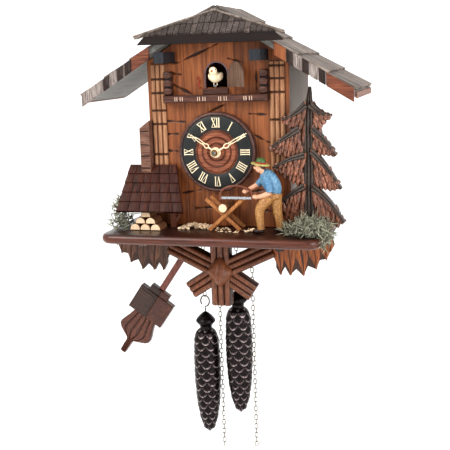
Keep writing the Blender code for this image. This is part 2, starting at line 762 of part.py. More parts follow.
def hang_from_leader(thing):
    """Moves a piece drawn hanging straight down so that it hangs at its swing, about the leader's pin."""
    pivot_at(thing, 0, PENDULUM_DEPTH, PENDULUM_PIVOT)
    thing.rotation_euler[1] = SWING


def pendulum():
    low = PENDULUM_PIVOT
    front, back = PENDULUM_DEPTH - ROD_THICK / 2, PENDULUM_DEPTH + ROD_THICK / 2
    half = ROD_WIDTH / 2
    outline = [(-half, low + 0.004), (-half, low - BOB_TOP + GAP), (half, low - BOB_TOP + GAP), (half, low + 0.004)]
    stick = prism("pendulum_rod", outline, front, back, WOOD_RED)
    cut(stick, rod("eye", (0, front - 0.01, low), (0, back + 0.01, low), 0.0010 + RUNNING_CLEARANCE, WOOD_RED, ROUND))
    hang_from_leader(stick)
    side = [
        (0.0135, BOB_TOP),
        (0.0135, BOB_TOP + 0.0080),
        (0.0240, BOB_TOP + 0.0080),
        (0.0240, BOB_TOP + 0.0415),
        (0.0150, BOB_TOP + 0.0420),
        (0.0225, BOB_TOP + 0.0650),
        (0.0180, BOB_TOP + 0.0700),
        (0.0100, BOB_TOP + 0.0730),
        (0.0040, BOB_TOP + 0.0770),
        (0.0040, BOB_END),
    ]
    outline = [(x, low - s) for x, s in side] + [(-x, low - s) for x, s in reversed(side)]
    bob = prism("pendulum_bob", outline, PENDULUM_DEPTH - BOB_THICK / 2, PENDULUM_DEPTH + BOB_THICK / 2, WOOD_DARK)
    hang_from_leader(bob)


def straight_points(x, top, bottom, step=0.008):
    """Points straight down a hanging chain."""
    count = max(2, math.ceil((top - bottom) / step))
    return [(x, CHAIN_DEPTH, top + (bottom - top) * i / count) for i in range(count + 1)]


def weights_and_chains():
    cone = [
        (0, 0),
        (0.0030, 0.0),
        (0.0100, 0.0080),
        (0.0113, 0.0110),
        (0.0100, 0.0135),
        (0.0084, 0.0175),
        (0.0115, 0.0220),
        (0.0140, 0.0300),
        (CONE_RADIUS, 0.0550),
        (CONE_RADIUS, 0.0800),
        (0.0138, 0.1080),
        (0.0105, 0.1320),
        (0.0065, 0.1430),
        (0, CONE_LENGTH),
    ]
    for name, side, weight_side in (("left", -1, -1), ("right", 1, -1)):
        wheel_x = side * CHAIN_WHEEL_X
        weight_x = wheel_x + weight_side * SPROCKET_RADIUS
        free_x = wheel_x - weight_side * SPROCKET_RADIUS
        top = CONE_TOPS[name]
        turned(f"cone_{name}", [(r, top - s) for r, s in cone], weight_x, CHAIN_DEPTH, IRON, 20)
        hook(f"hook_{name}", weight_x, top)
        hidden_top = CHAIN_WHEEL_HEIGHT + WEIGHT_TRAVEL
        taut = straight_points(weight_x, hidden_top, top + HOOK_HEIGHT + GAP)
        wire(f"chain_weight_{name}", taut, CHAIN_RADIUS, BRASS)
        loose = straight_points(free_x, CHAIN_WHEEL_HEIGHT, FREE_ENDS[name])
        wire(f"chain_free_{name}", loose, CHAIN_RADIUS, BRASS)
        chain_wheel(f"chain_wheel_{name}", wheel_x)


def hook(name, x, foot):
    """A wire hook that stands on a weight's top and holds the chain's last link."""
    top = foot + HOOK_HEIGHT - HOOK_WIRE
    mid = foot + HOOK_HEIGHT * 0.62
    radius = top - mid
    stem = [(x, CHAIN_DEPTH, foot + GAP), (x, CHAIN_DEPTH, mid - radius)]
    turns = [-math.pi / 2 + 2 * math.pi * 0.86 * i / 14 for i in range(15)]
    loop = [(x + radius * math.cos(a) * 0.8, CHAIN_DEPTH, mid + radius * math.sin(a)) for a in turns]
    wire(name, stem + loop[1:], HOOK_WIRE, STEEL, 1)


def chain_wheel(name, x):
    """A spool that the chain runs over, its toothed great wheel, and the arbor that both turn on."""
    inner = SPROCKET_RADIUS - CHAIN_RADIUS - GAP
    flange = SPROCKET_RADIUS + 0.002
    near, far = CHAIN_DEPTH - CHAIN_RADIUS - GAP, CHAIN_DEPTH + CHAIN_RADIUS + GAP
    wall = 0.0009
    spool = [
        (0, FRONT_PLATE + 0.0002),
        (PIVOT_RADIUS, FRONT_PLATE + 0.0002),
        (PIVOT_RADIUS, near - wall),
        (flange, near - wall),
        (flange, near),
        (inner, near),
        (inner, far),
        (flange, far),
        (flange, far + wall),
        (PIVOT_RADIUS, far + wall),
        (PIVOT_RADIUS, BACK_PLATE + PLATE_THICK - 0.0002),
        (0, BACK_PLATE + PLATE_THICK - 0.0002),
    ]
    made = lathe(name, list(reversed(spool)), x, CHAIN_WHEEL_HEIGHT, BRASS)
    join(made, gear("great_wheel", GREAT_WHEEL_RADIUS, 30, 0, far + wall + 0.006, x, CHAIN_WHEEL_HEIGHT))


def cuckoo():
    tilt = Matrix.Rotation(math.radians(-24), 4, "X")
    body = ball("cuckoo_bird", (0, BIRD_DEPTH, BIRD_HEIGHT), (0.0050, 0.0105, 0.0052), CREAM, tilt)
    head = ball("head", (0, BIRD_DEPTH - 0.0085, BIRD_HEIGHT + HEAD_LIFT), (0.0040, 0.0042, 0.0040), CREAM, None, 6)
    beak = rod(
        "beak",
        (0, BIRD_DEPTH - 0.0113, BIRD_HEIGHT + HEAD_LIFT),
        (0, BIRD_DEPTH - 0.0160, BIRD_HEIGHT + HEAD_LIFT - 0.0009),
        0.0014,
        CREAM,
        8,
        0.0003,
    )
    foot = rod("foot", (0, BIRD_DEPTH, BIRD_HEIGHT), (0, BIRD_DEPTH, ARCH_BOTTOM + 0.0038), 0.0012, CREAM, 8)
    join(body, head, beak, foot)
    pivot_at(body, BIRD_PIVOT_X, BIRD_PIVOT_DEPTH, ARM_HEIGHT)
    thin = 0.0010
    bar = hull(
        "bird_arm",
        [
            (x + dx, d + dd, ARM_HEIGHT + dz)
            for x, d in ((BIRD_PIVOT_X, BIRD_PIVOT_DEPTH), (0.0, 0.0155))
            for dx in (-0.0015, 0.0015)
            for dd in (-0.0015, 0.0015)
            for dz in (-thin, thin)
        ],
        STEEL,
    )
    level = ARCH_BOTTOM + 0.0022
    riser = block("riser", (-0.0012, 0.0145, ARM_HEIGHT - thin / 2), (0.0012, 0.0168, level + thin), STEEL)
    perch = block("perch", (-0.0016, BIRD_DEPTH - 0.003, level - thin), (0.0016, 0.0165, level + thin), STEEL)
    pin = rod(
        "pin",
        (BIRD_PIVOT_X, BIRD_PIVOT_DEPTH, PLATE_TOP + GAP),
        (BIRD_PIVOT_X, BIRD_PIVOT_DEPTH, ARM_HEIGHT + 0.006),
        0.0014,
        STEEL,
    )
    join(bar, riser, perch, pin)
    pivot_at(bar, BIRD_PIVOT_X, BIRD_PIVOT_DEPTH, ARM_HEIGHT)


def door():
    """The arched leaf over the cuckoo's opening, drawn shut and then turned open about its right edge."""
    half = ARCH_HALF_WIDTH + 0.0006
    outline = [(x, z) for x, z in arch(half, ARCH_BOTTOM + 0.0008, ARCH_TOP + 0.0006)]
    leaf = prism("door_leaf", outline, DOOR_HINGE_DEPTH - DOOR_THICK / 2, DOOR_HINGE_DEPTH + DOOR_THICK / 2, WOOD_DARK)
    knuckle = rod(
        "knuckle",
        (DOOR_HINGE_X, DOOR_HINGE_DEPTH, ARCH_BOTTOM + 0.002),
        (DOOR_HINGE_X, DOOR_HINGE_DEPTH, ARCH_BOTTOM + 0.013),
        0.0013,
        WOOD_DARK,
    )
    join(leaf, knuckle)
    pivot_at(leaf, DOOR_HINGE_X, DOOR_HINGE_DEPTH, ARCH_BOTTOM)
    leaf.rotation_euler[2] = DOOR_OPEN


def shed_slab(name, lift=0.0):
    """The lean-to's roof board; lift raises its upper face, to cut what stands on it."""
    points = []
    for depth, height, left, right in (
        (SHED_TOP_DEPTH, SHED_TOP, SHED_TOP_LEFT, SHED_TOP_RIGHT),
        (SHED_EAVE_DEPTH, SHED_EAVE, SHED_EAVE_LEFT, SHED_EAVE_RIGHT),
    ):
        for x in (left, right):
            points.append((x, depth, height + lift))
            points.append((x, depth, height - SHED_THICK))
    if lift:
        points += [(x, 0.02, SHED_TOP - 0.02) for x in (SHED_TOP_LEFT, SHED_TOP_RIGHT)]
    return hull(name, points, WOOD_RED)


def shed():
    shed_slab("shed_roof")
    slope = (SHED_TOP - SHED_EAVE) / (SHED_TOP_DEPTH - SHED_EAVE_DEPTH)
    front = -0.014
    post_top = SHED_EAVE - SHED_THICK + slope * (front - SHED_EAVE_DEPTH) - 3 * GAP
    block("shed_post", (-0.0530, front, BASE_TOP + GAP), (-0.0470, front + 0.006, post_top), WOOD_RED)


def woodpile():
    """Six split logs, flat side down, stacked three, two and one; each log bears on the two below it."""
    logs = []
    steps = 8
    turns = [math.pi * i / steps for i in range(steps + 1)]
    lip = LOG_ROW - LOG_RADIUS + 0.0002
    for row in range(3):
        for i in range(3 - row):
            x = LOG_PILE_X + (i - (2 - row) / 2) * LOG_PITCH
            z = BASE_TOP + GAP + row * LOG_ROW
            crown = [(x + LOG_RADIUS * math.cos(a), z + lip + LOG_RADIUS * math.sin(a)) for a in turns]
            outline = [(x - LOG_RADIUS, z), (x + LOG_RADIUS, z)] + crown
            logs.append(prism("woodpile", outline, LOG_FRONT + row * 0.0013, LOG_BACK - row * 0.0013, WOOD_PALE))
    join(logs[0], *logs[1:])
    logs[0].name = "woodpile"


def fir_tree():
    """A flat carved fir: four tiers of drooping boughs, longer to the right, that end in points."""
    foot = BASE_TOP + GAP
    right = [
        (0.1006, 0.0660),
        (0.1032, 0.0473),
        (0.1106, 0.0409),
        (0.1205, 0.0377),
        (0.1168, 0.0283),
        (0.1088, 0.0242),
        (0.1145, 0.0179),
        (0.1229, 0.0084),
        (0.1265, -0.0021),
        (0.1186, 0.0000),
        (0.1050, 0.0010),
        (0.1143, -0.0096),
        (0.1248, -0.0212),
        (0.1316, -0.0361),
        (0.1236, -0.0378),
        (0.1076, -0.0321),
        (0.1193, -0.0438),
        (0.1288, -0.0544),
        (0.1346, -0.0695),
        (0.1319, -0.0750),
        (0.1200, -0.0745),
        (0.1170, foot),
    ]
    left = [
        (0.0650, foot),
        (0.0624, -0.0479),
        (0.0736, -0.0434),
        (0.0848, -0.0300),
        (0.0652, -0.0195),
        (0.0809, -0.0043),
        (0.0590, -0.0011),
        (0.0586, 0.0064),
        (0.0770, 0.0213),
        (0.0840, 0.0290),
        (0.0719, 0.0362),
        (0.0828, 0.0413),
        (0.0904, 0.0485),
        (0.0971, 0.0629),
    ]
    prism("fir_tree", right + left, TREE_BACK - TREE_THICK, TREE_BACK, WOOD_RED)


def bar_between(name, start, end, side, front, back, surface):
    """A flat bar of a given width between two (x, height) points."""
    direction = (Vector(end) - Vector(start)).normalized()
    across = Vector((-direction.y, direction.x)) * side / 2
    corners = [Vector(start) - across, Vector(end) - across, Vector(end) + across, Vector(start) + across]
    return prism(name, [tuple(c) for c in corners], front, back, surface)


def sawhorse():
    """Two crossed pairs of legs on a stay, with the log lying in the forks; returns the height of the log's top."""
    foot = BASE_TOP + GAP
    low, high = HORSE_FOOT_HALF_SPAN, HORSE_TOP_HALF_SPAN
    angle = math.atan2(HORSE_HEIGHT, low + high)
    lift = HORSE_LEG / 2 * math.cos(angle)
    bars = []
    for front in (HORSE_FRONT, HORSE_BACK):
        for side in (-1, 1):
            start = (HORSE_X - side * low, foot + lift)
            end = (HORSE_X + side * high, foot + lift + HORSE_HEIGHT)
            depth = front - 0.0012 * side
            bars.append(bar_between("sawhorse", start, end, HORSE_LEG, depth - 0.0015, depth + 0.0015, WOOD_ORANGE))
    crossing = foot + lift + HORSE_HEIGHT * low / (low + high)
    stay = rod("stay", (HORSE_X, HORSE_FRONT, crossing), (HORSE_X, HORSE_BACK, crossing), 0.0013, WOOD_ORANGE, 8)
    join(bars[0], bars[1], stay, bars[2], bars[3])
    bars[0].name = "sawhorse"
    seat = crossing + (SAW_LOG_RADIUS + HORSE_LEG / 2 + GAP) / math.cos(angle)
    rod("saw_log", (HORSE_X, HORSE_FRONT - 0.006, seat), (HORSE_X, HORSE_BACK + 0.006, seat), SAW_LOG_RADIUS, WOOD_PALE, 14)
    return seat + SAW_LOG_RADIUS


def sawyer(log_top):
    """A small carved man in a brimmed hat, leaning over his bow saw."""
    x, d = SAWYER_X, SAWYER_DEPTH
    foot = BASE_TOP + GAP
    hip = foot + 0.036
    shoulder = foot + 0.062
    legs = [
        rod("sawyer", (x - 0.009, d - 0.006, foot + 0.001), (x + 0.003, d - 0.002, hip), 0.0040, PAINTED, 10, 0.0058),
        rod("leg", (x + 0.011, d + 0.004, foot + 0.001), (x + 0.005, d + 0.002, hip), 0.0040, PAINTED, 10, 0.0058),
    ]
    shoes = [
        ball("shoe", (x - 0.011, d - 0.007, foot + 0.0028), (0.0062, 0.0036, 0.0027), PAINTED, None, 6),
        ball("shoe", (x + 0.009, d + 0.0035, foot + 0.0028), (0.0062, 0.0036, 0.0027), PAINTED, None, 6),
    ]
    trunk = ball("trunk", (x + 0.0005, d, (hip + shoulder) / 2), (0.0098, 0.0088, 0.0172), PAINTED, Matrix.Rotation(math.radians(-10), 4, "Y"))
    head = ball("head", (x - 0.0085, d - 0.003, shoulder + 0.0062), (0.0050, 0.0050, 0.0060), PAINTED)
    neck = rod("neck", (x - 0.003, d - 0.001, shoulder - 0.004), (x - 0.008, d - 0.003, shoulder + 0.004), 0.0032, PAINTED, 8)
    hat = turned(
        "hat",
        [(0, 0.0130), (0.0045, 0.0125), (0.0052, 0.0080), (0.0098, 0.0072), (0.0098, 0.0062), (0, 0.0058)],
        0,
        0,
        PAINTED,
        14,
    )
    hat.data.transform(Matrix.Translation(at(x - 0.0095, d - 0.003, shoulder + 0.0030) - at(0, 0, 0)))
    saw_end = x - SAW_REACH
    blade = log_top + SAW_LIFT
    near_elbow = (x + 0.0025, d - 0.0115, shoulder - 0.0185)
    far_elbow = (x - 0.0125, d + 0.0040, shoulder - 0.0125)
    arms = [
        rod("arm", (x + 0.0010, d - 0.0080, shoulder - 0.0040), near_elbow, 0.0032, PAINTED, 8),
        rod("arm", (near_elbow[0], near_elbow[1], near_elbow[2] + 0.001), (saw_end + 0.0036, d - 0.0060, blade + 0.0030), 0.0030, PAINTED, 8),
        rod("arm", (x - 0.0030, d + 0.0060, shoulder - 0.0050), far_elbow, 0.0032, PAINTED, 8),
        rod("arm", (far_elbow[0], far_elbow[1], far_elbow[2] + 0.001), (saw_end - 0.0095, d + 0.0016, blade + 0.0085), 0.0028, PAINTED, 8),
    ]
    join(legs[0], legs[1], *shoes, trunk, neck, head, hat, *arms)
    legs[0].name = "sawyer"
    pivot = (x + 0.016, d, foot)
    pivot_at(legs[0], *pivot)
    saw = bow_saw(saw_end, d - 0.0045, blade)
    pivot_at(saw, *pivot)


def bow_saw(end_x, depth, low):
    """A bowed wooden frame with a steel blade stretched across it, held over the log."""
    length = SAW_LENGTH
    rise = 0.0125
    steps = 8
    outer = [(end_x - length * (1 - math.cos(math.pi * i / steps)) / 2, low + 0.0026 + rise * math.sin(math.pi * i / steps)) for i in range(steps + 1)]
    middle = Vector((end_x - length / 2, low))
    inner = [tuple(middle + (Vector(p) - middle) * 0.86) for p in outer]
    bow = prism("bow_saw", outer + list(reversed(inner)), depth - 0.0012, depth + 0.0012, WOOD_ORANGE)
    blade = block("blade", (end_x - length, depth - 0.0004, low), (end_x, depth + 0.0004, low + 0.0034), STEEL)
    join(bow, blade)
    return bow


def star_bracket():
    top = BASE_TOP - BASE_THICK - GAP
    front = STAR_BACK - STAR_THICK
    post = block("star_bracket", (-STAR_POST_HALF_WIDTH, front, STAR_FOOT), (STAR_POST_HALF_WIDTH, STAR_BACK, top), WOOD_ORANGE)
    arms = []
    for side in (-1, 1):
        for way, reach, angle in ((1, STAR_HIGH_REACH, STAR_HIGH_ANGLE), (-1, STAR_LOW_REACH, STAR_LOW_ANGLE)):
            end = (side * reach * math.cos(angle), STAR_CENTRE + way * reach * math.sin(angle))
            nudge = 0.0005 * (1 + (way > 0))
            arms.append(bar_between("arm", (0, STAR_CENTRE), end, STAR_ARM_WIDTH, front + nudge, STAR_BACK - nudge, WOOD_ORANGE))
    join(post, *arms)
    cut(post, block("trim", (-0.2, -0.1, top), (0.2, 0.1, 0), WOOD_ORANGE))
    boss = hull(
        "boss",
        [
            (-BOSS_HALF_WIDTH, front + 0.001, STAR_CENTRE),
            (BOSS_HALF_WIDTH, front + 0.001, STAR_CENTRE),
            (0, front + 0.001, STAR_CENTRE + BOSS_HALF_HEIGHT),
            (0, front + 0.001, STAR_CENTRE - BOSS_HALF_HEIGHT),
            (0, front - BOSS_REACH, STAR_CENTRE - 0.002),
        ],
        WOOD_ORANGE,
    )
    join(post, boss)


def leaf_carvings():
    top = BASE_TOP - BASE_THICK - GAP
    inner = STAR_HIGH_REACH * math.cos(STAR_HIGH_ANGLE) + STAR_ARM_WIDTH / 2 * math.sin(STAR_HIGH_ANGLE) + GAP
    width = LEAF_OUTER - inner
    teeth = [
        (0.985, 0.0),
        (1.000, 0.005),
        (0.860, 0.011),
        (0.900, 0.020),
        (0.730, 0.022),
        (0.710, 0.031),
        (0.570, 0.028),
        (0.485, 0.039),
        (0.365, 0.032),
        (0.245, 0.039),
        (0.160, 0.030),
        (0.070, 0.039),
        (0.0, 0.031),
        (0.0, 0.0),
    ]
    outline = [(inner + width * share, top - drop) for share, drop in teeth]
    for name, side in (("leaf_left", -1), ("leaf_right", 1)):
        prism(name, [(side * x, z) for x, z in outline], LEAF_BACK - LEAF_THICK, LEAF_BACK, WOOD_ORANGE)


def voice():
    for name, side in (("left", -1), ("right", 1)):
        low_x, high_x = sorted((side * (BELLOWS_X - BELLOWS_WIDTH / 2), side * (BELLOWS_X + BELLOWS_WIDTH / 2)))
        block(f"whistle_{name}", (low_x, BELLOWS_FRONT, BELLOWS_BOTTOM), (high_x, BELLOWS_BACK, BELLOWS_TOP), WOOD_PALE)
        lid_low = BELLOWS_TOP + LID_LIFT
        lid = block(f"bellows_lid_{name}", (low_x, BELLOWS_FRONT, lid_low), (high_x, BELLOWS_BACK, lid_low + LID_THICK), WOOD_PALE)
        pivot_at(lid, side * BELLOWS_X, BELLOWS_BACK, lid_low)


def gong():
    turns = GONG_TURNS * 16
    coil = []
    for i in range(turns + 1):
        angle = 2 * math.pi * i / 16
        radius = GONG_INNER + GONG_PITCH * i / 16
        coil.append((radius * math.cos(angle), GONG_DEPTH, GONG_HEIGHT + radius * math.sin(angle)))
    tube = wire("gong", coil, GONG_WIRE, STEEL, 1)
    wall = CASE_DEPTH - PANEL_THICK - 6 * GAP
    radius = GONG_INNER
    post = rod("post", (radius, GONG_DEPTH - 0.003, GONG_HEIGHT), (radius, wall, GONG_HEIGHT), 0.0022, STEEL, 12)
    join(tube, post)
    x, z = HAMMER_X, HAMMER_HEIGHT
    arm = bar_between("gong_hammer", (x, z), (x - 0.0035, z + 0.017), 0.0022, GONG_DEPTH - 0.006, GONG_DEPTH - 0.004, STEEL)
    shaft = rod("shaft", (x, BACK_PLATE + PLATE_THICK + GAP, z), (x, GONG_DEPTH - 0.003, z), 0.0014, STEEL)
    head = rod("head", (x - 0.0035, GONG_DEPTH - 0.006, z + 0.018), (x - 0.0035, GONG_DEPTH + 0.003, z + 0.018), 0.0034, BRASS)
    join(arm, shaft, head)
    pivot_at(arm, x, GONG_DEPTH, z)


def build():
    case()
    hanger()
    base_board()
    roof()
    reeds()
    chimney()
    balcony()
    dial()
    movement()
    hands_and_motion_work()
    escapement()
    pendulum()
    weights_and_chains()
    cuckoo()
    door()
    shed()
    woodpile()
    fir_tree()
    sawyer(sawhorse())
    star_bracket()
    leaf_carvings()
    voice()
    gong()


clear_scene()
build()
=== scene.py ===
# %% [markdown]
# A cuckoo clock is a wooden chalet hung on a wall. Its looks come from carved and stained wood, a roof of small
# shingles, cast pine cones on brass chains and a round dial. The solids of the clock are already made; this lesson
# dresses them. Loading the frame gives those solids, and every new piece is placed in the same metres.

# %% Load the frame
import math

import bpy
import numpy as np
from mathutils import Matrix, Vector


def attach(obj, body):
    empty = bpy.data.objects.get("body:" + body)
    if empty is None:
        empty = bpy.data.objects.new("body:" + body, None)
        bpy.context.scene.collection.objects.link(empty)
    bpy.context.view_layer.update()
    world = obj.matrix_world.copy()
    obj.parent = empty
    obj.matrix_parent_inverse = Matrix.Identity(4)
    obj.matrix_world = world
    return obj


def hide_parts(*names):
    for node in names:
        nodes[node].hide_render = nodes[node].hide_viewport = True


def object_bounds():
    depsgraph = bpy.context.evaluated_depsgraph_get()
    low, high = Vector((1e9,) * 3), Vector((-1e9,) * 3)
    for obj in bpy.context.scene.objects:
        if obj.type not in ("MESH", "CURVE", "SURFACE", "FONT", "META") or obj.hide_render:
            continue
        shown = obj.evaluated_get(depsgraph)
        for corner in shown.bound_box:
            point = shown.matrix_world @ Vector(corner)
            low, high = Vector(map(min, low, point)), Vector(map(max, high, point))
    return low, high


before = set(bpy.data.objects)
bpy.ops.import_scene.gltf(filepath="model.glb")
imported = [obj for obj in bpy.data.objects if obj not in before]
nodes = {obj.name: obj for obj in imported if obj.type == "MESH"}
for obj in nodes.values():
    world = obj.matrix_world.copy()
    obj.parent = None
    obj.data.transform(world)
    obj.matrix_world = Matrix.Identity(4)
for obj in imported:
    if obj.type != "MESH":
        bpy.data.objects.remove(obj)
cad_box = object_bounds()

# %% [markdown]
# All the sizes of the clock are counted from the middle of the dial and from the front panel's face. The next helper
# turns such a place into the frame's metres, for single numbers and for whole arrays alike.

# %% Places on the clock
PANEL_FACE, DIAL_MIDDLE = -0.104, -0.088
rng = np.random.default_rng(7)


def at(x, depth, height):
    """Places in the frame, one row each: x as it is, depth counted back from the panel's face, height from the dial."""
    x, depth, height = np.broadcast_arrays(x, depth, height)
    return join(x, depth + PANEL_FACE, height + DIAL_MIDDLE).astype(float)


def smooth(low, high, value):
    """0 below low, 1 above high, and an even S-curve (3t^2 - 2t^3) between."""
    t = np.clip((np.asarray(value, float) - low) / (high - low), 0, 1)
    return t * t * (3 - 2 * t)


def join(*values):
    """Arrays side by side along a new last axis, so that join(x, y) holds one (x, y) for each place."""
    return np.stack(np.broadcast_arrays(*values), axis=-1)


def circle(count):
    """Even angles once round, the last one a step short of the first."""
    return np.linspace(0, 2 * np.pi, count, endpoint=False)


def turn_by(angle, a, b):
    """The place (a, b) turned by an angle from a's axis towards b's, for numbers and arrays alike."""
    return a * np.cos(angle) - b * np.sin(angle), a * np.sin(angle) + b * np.cos(angle)


def unit(rows):
    """Each row's way, with a length of 1."""
    return rows / np.linalg.norm(rows, axis=1, keepdims=True)


# %% [markdown]
# Nearly every piece here is a loft: rings of points, one after another, joined by four-sided faces and closed by a
# face at each end. A bar, a bead, a shingle or a chain link is then only a rule for where its rings lie. Boolean
# cutting of blocks would also do, but a loft has clean edges and takes a bevel for free.

# %% Lofts, and the mesh made of them
def loft(rings, round_path=False):
    """(points, faces): ring i's point j joins its neighbours' by quads; end rings get a cap unless the path closes."""
    rings = np.asarray(rings, float)
    rows, per, _ = rings.shape
    i, j = np.meshgrid(np.arange(rows if round_path else rows - 1), np.arange(per), indexing="ij")
    near, far, after = i * per, (i + 1) % rows * per, (j + 1) % per
    quads = join(near + j, near + after, far + after, far + j).reshape(-1, 4)
    caps = [] if round_path else [np.arange(per)[None, ::-1], (rows - 1) * per + np.arange(per)[None]]
    points = rings.reshape(-1, 3)
    a, b, c, d = (points[quads[:, k]] - points.mean(axis=0) for k in range(4))
    inside_out = (np.einsum("ij,ij->i", a, np.cross(b, c)) + np.einsum("ij,ij->i", a, np.cross(c, d))).sum() < 0
    return points, [f[:, ::-1] if inside_out else f for f in [quads] + caps]


def sheet_quads(rows, per):
    """The four-sided faces of an open grid of points, in rows of per points each."""
    i, j = np.meshgrid(np.arange(rows - 1), np.arange(per - 1), indexing="ij")
    corner = i * per + j
    return join(corner, corner + 1, corner + per + 1, corner + per).reshape(-1, 4)


def several(part, places, tones=None):
    """Copies of one loft at many places: places is (n, points, 3); tone is one number a copy."""
    places = np.asarray(places, float)
    count, per, _ = places.shape
    step = np.arange(count)[:, None, None] * per
    faces = [(f[None] + step).reshape(-1, f.shape[1]) for f in part[1]]
    marks = {} if tones is None else {"tone": np.repeat(tones, per)}
    return places.reshape(-1, 3), faces, marks


def piece(name, parts, body, finish, replaces=(), soft=True):
    """Joins lofts into one mesh. A part is (points, faces) or (points, faces, {attribute: value or values})."""
    if isinstance(parts, tuple):
        parts = [parts]
    start, points, faces, marks = 0, [], [], {"carve": [], "tone": []}
    for part in parts:
        points.append(part[0])
        faces += [row for f in part[1] for row in (f + start).tolist()]
        given = part[2] if len(part) > 2 else {}
        for key, usual in (("carve", 0.0), ("tone", 0.5)):
            marks[key].append(np.broadcast_to(np.asarray(given.get(key, usual), float), len(part[0])))
        start += len(part[0])
    mesh = bpy.data.meshes.new(name)
    mesh.from_pydata(np.concatenate(points).tolist(), [], faces)
    for key, values in marks.items():
        mesh.attributes.new(key, "FLOAT", "POINT").data.foreach_set("value", np.concatenate(values))
    mesh.polygons.foreach_set("use_smooth", np.ones(len(faces), bool))
    if soft:
        mesh.set_sharp_from_angle(angle=math.radians(40))
    mesh.materials.append(finish)
    made = bpy.data.objects.new(name, mesh)
    bpy.context.scene.collection.objects.link(made)
    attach(made, body)
    if replaces:
        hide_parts(*([replaces] if isinstance(replaces, str) else replaces))
    print(f"{name}: {len(faces)} faces")
    return made


def outline_block(outline, front, back, bevel=0.0006):
    """A flat board: its (x, height) outline between two depths, with its front and back edges eased by bevel.
    Each corner moves in along the mean of its two edges' normals."""
    flat = np.asarray(outline, float)
    if np.cross(flat, np.roll(flat, -1, axis=0)).sum() < 0:
        flat = flat[::-1]
    ahead = np.roll(flat, -1, axis=0) - flat
    ahead /= np.linalg.norm(ahead, axis=1, keepdims=True) + 1e-12
    inward = join(-ahead[:, 1], ahead[:, 0])
    lean = inward + np.roll(inward, 1, axis=0)
    lean /= np.maximum(np.einsum("ij,ij->i", lean, inward), 0.5)[:, None]
    slim = flat + lean * bevel
    rings = [(slim, back), (flat, back - bevel), (flat, front + bevel), (slim, front)]
    return loft([at(ring[:, 0], depth, ring[:, 1]) for ring, depth in rings])


def box(x0, x1, low, high, front, back, bevel=0.0006):
    """An upright rectangle as an outline_block."""
    return outline_block([(x0, low), (x1, low), (x1, high), (x0, high)], front, back, bevel)


def bar(start, end, width, front, back, bevel=0.0005):
    """An outline_block along the line between two (x, height) points."""
    start, end = np.array(start, float), np.array(end, float)
    way = (end - start) / np.linalg.norm(end - start)
    side = np.array([-way[1], way[0]]) * width / 2
    return outline_block([start - side, end - side, end + side, start + side], front, back, bevel)


def tube(path, radius, sides=8):
    """A round bar along points: at each, a circle square to the path, its first spoke kept as near as can be to Y."""
    path = np.asarray(path, float)
    way = np.gradient(path, axis=0)
    way = unit(way)
    spoke = np.array([0.0, 1.0, 0.0]) - way * way[:, 1:2]
    spoke = np.where(np.linalg.norm(spoke, axis=1, keepdims=True) < 0.1, [1.0, 0.0, 0.0], spoke)
    spoke = unit(spoke)
    other = np.cross(way, spoke)
    turn = circle(sides)[None, :, None]
    radius = np.broadcast_to(radius, len(path))[:, None, None]
    return loft(path[:, None] + radius * (np.cos(turn) * spoke[:, None] + np.sin(turn) * other[:, None]))


def egg(centre, radii, rows=10, sides=14, lean=0.0):
    """A ball with three radii: rings of latitude, its poles closed by tiny rings; lean tips it left in radians."""
    up, turn = np.linspace(-0.999, 0.999, rows)[:, None] * np.pi / 2, circle(sides)
    shape = join(np.cos(up) * np.cos(turn), np.cos(up) * np.sin(turn), np.sin(up))
    x, y, z = np.moveaxis(shape * radii, -1, 0)
    x, z = turn_by(lean, x, z)
    return loft(join(x, y, z) + np.asarray(centre, float))


def marked(part, **marks):
    """The same part with these attribute values on top of its own."""
    return (*part[:2], {**(part[2] if len(part) > 2 else {}), **marks})


def wear(name, finish):
    """Gives one of the clock's own solids its finish."""
    nodes[name].data.materials.clear()
    nodes[name].data.materials.append(finish)


# %% [markdown]
# The camera stands a little to the right of the clock and level with its top, and looks down at it. It is made
# first, because it decides which side of every piece has to be good.

# %% The camera
def camera_at(place, forward, roll, lens):
    """Camera axes: forward as given; right is level, turned by roll about forward; up is square to both."""
    ahead = np.array(forward) / np.linalg.norm(forward)
    right = np.cross(ahead, (0, 0, 1))
    right /= np.linalg.norm(right)
    up = np.cross(right, ahead)
    right, up = right * math.cos(roll) + up * math.sin(roll), up * math.cos(roll) - right * math.sin(roll)
    made = bpy.data.objects.new("camera", bpy.data.cameras.new("camera"))
    made.data.lens, made.data.sensor_width = lens, 36
    made.matrix_world = Matrix([
        (*axis, spot) for axis, spot in zip(np.stack([right, up, -ahead], axis=1), place)
    ] + [(0, 0, 0, 1)])
    bpy.context.scene.collection.objects.link(made)
    bpy.context.scene.camera = made


camera_at((0.26315, -0.95665, 0.00748), (-0.28534, 0.93886, -0.19271), math.radians(-1.906), 67.45)

# %% [markdown]
# A finish is a small web of nodes. This helper adds one node and links its inputs in a single line, so that each
# finish below reads as a list of steps.

# %% Finishes: the helper
def srgb(*colour):
    """A colour given as 0 to 255 on a screen, as the light it stands for."""
    share = np.array(colour) / 255
    return (*np.where(share <= 0.04045, share / 12.92, ((share + 0.055) / 1.055) ** 2.4), 1.0)


def add(tree, kind, settings=None, **inputs):
    """One node. An input is named as on the node, with _ for a space, or _ and its number; a socket is linked to it."""
    made = tree.nodes.new(kind)
    for key, value in (settings or {}).items():
        setattr(made, key, value)
    for key, value in inputs.items():
        socket = made.inputs[int(key[1:])] if key[0] == "_" else made.inputs[key.replace("_", " ")]
        if isinstance(value, bpy.types.NodeSocket):
            tree.links.new(value, socket)
        else:
            socket.default_value = value
    return made


def blend_of(tree, share, one, two, how="MIX"):
    """One colour over another by a share."""
    return add(tree, "ShaderNodeMix", {"data_type": "RGBA", "blend_type": how}, _0=share, _6=one, _7=two).outputs[2]


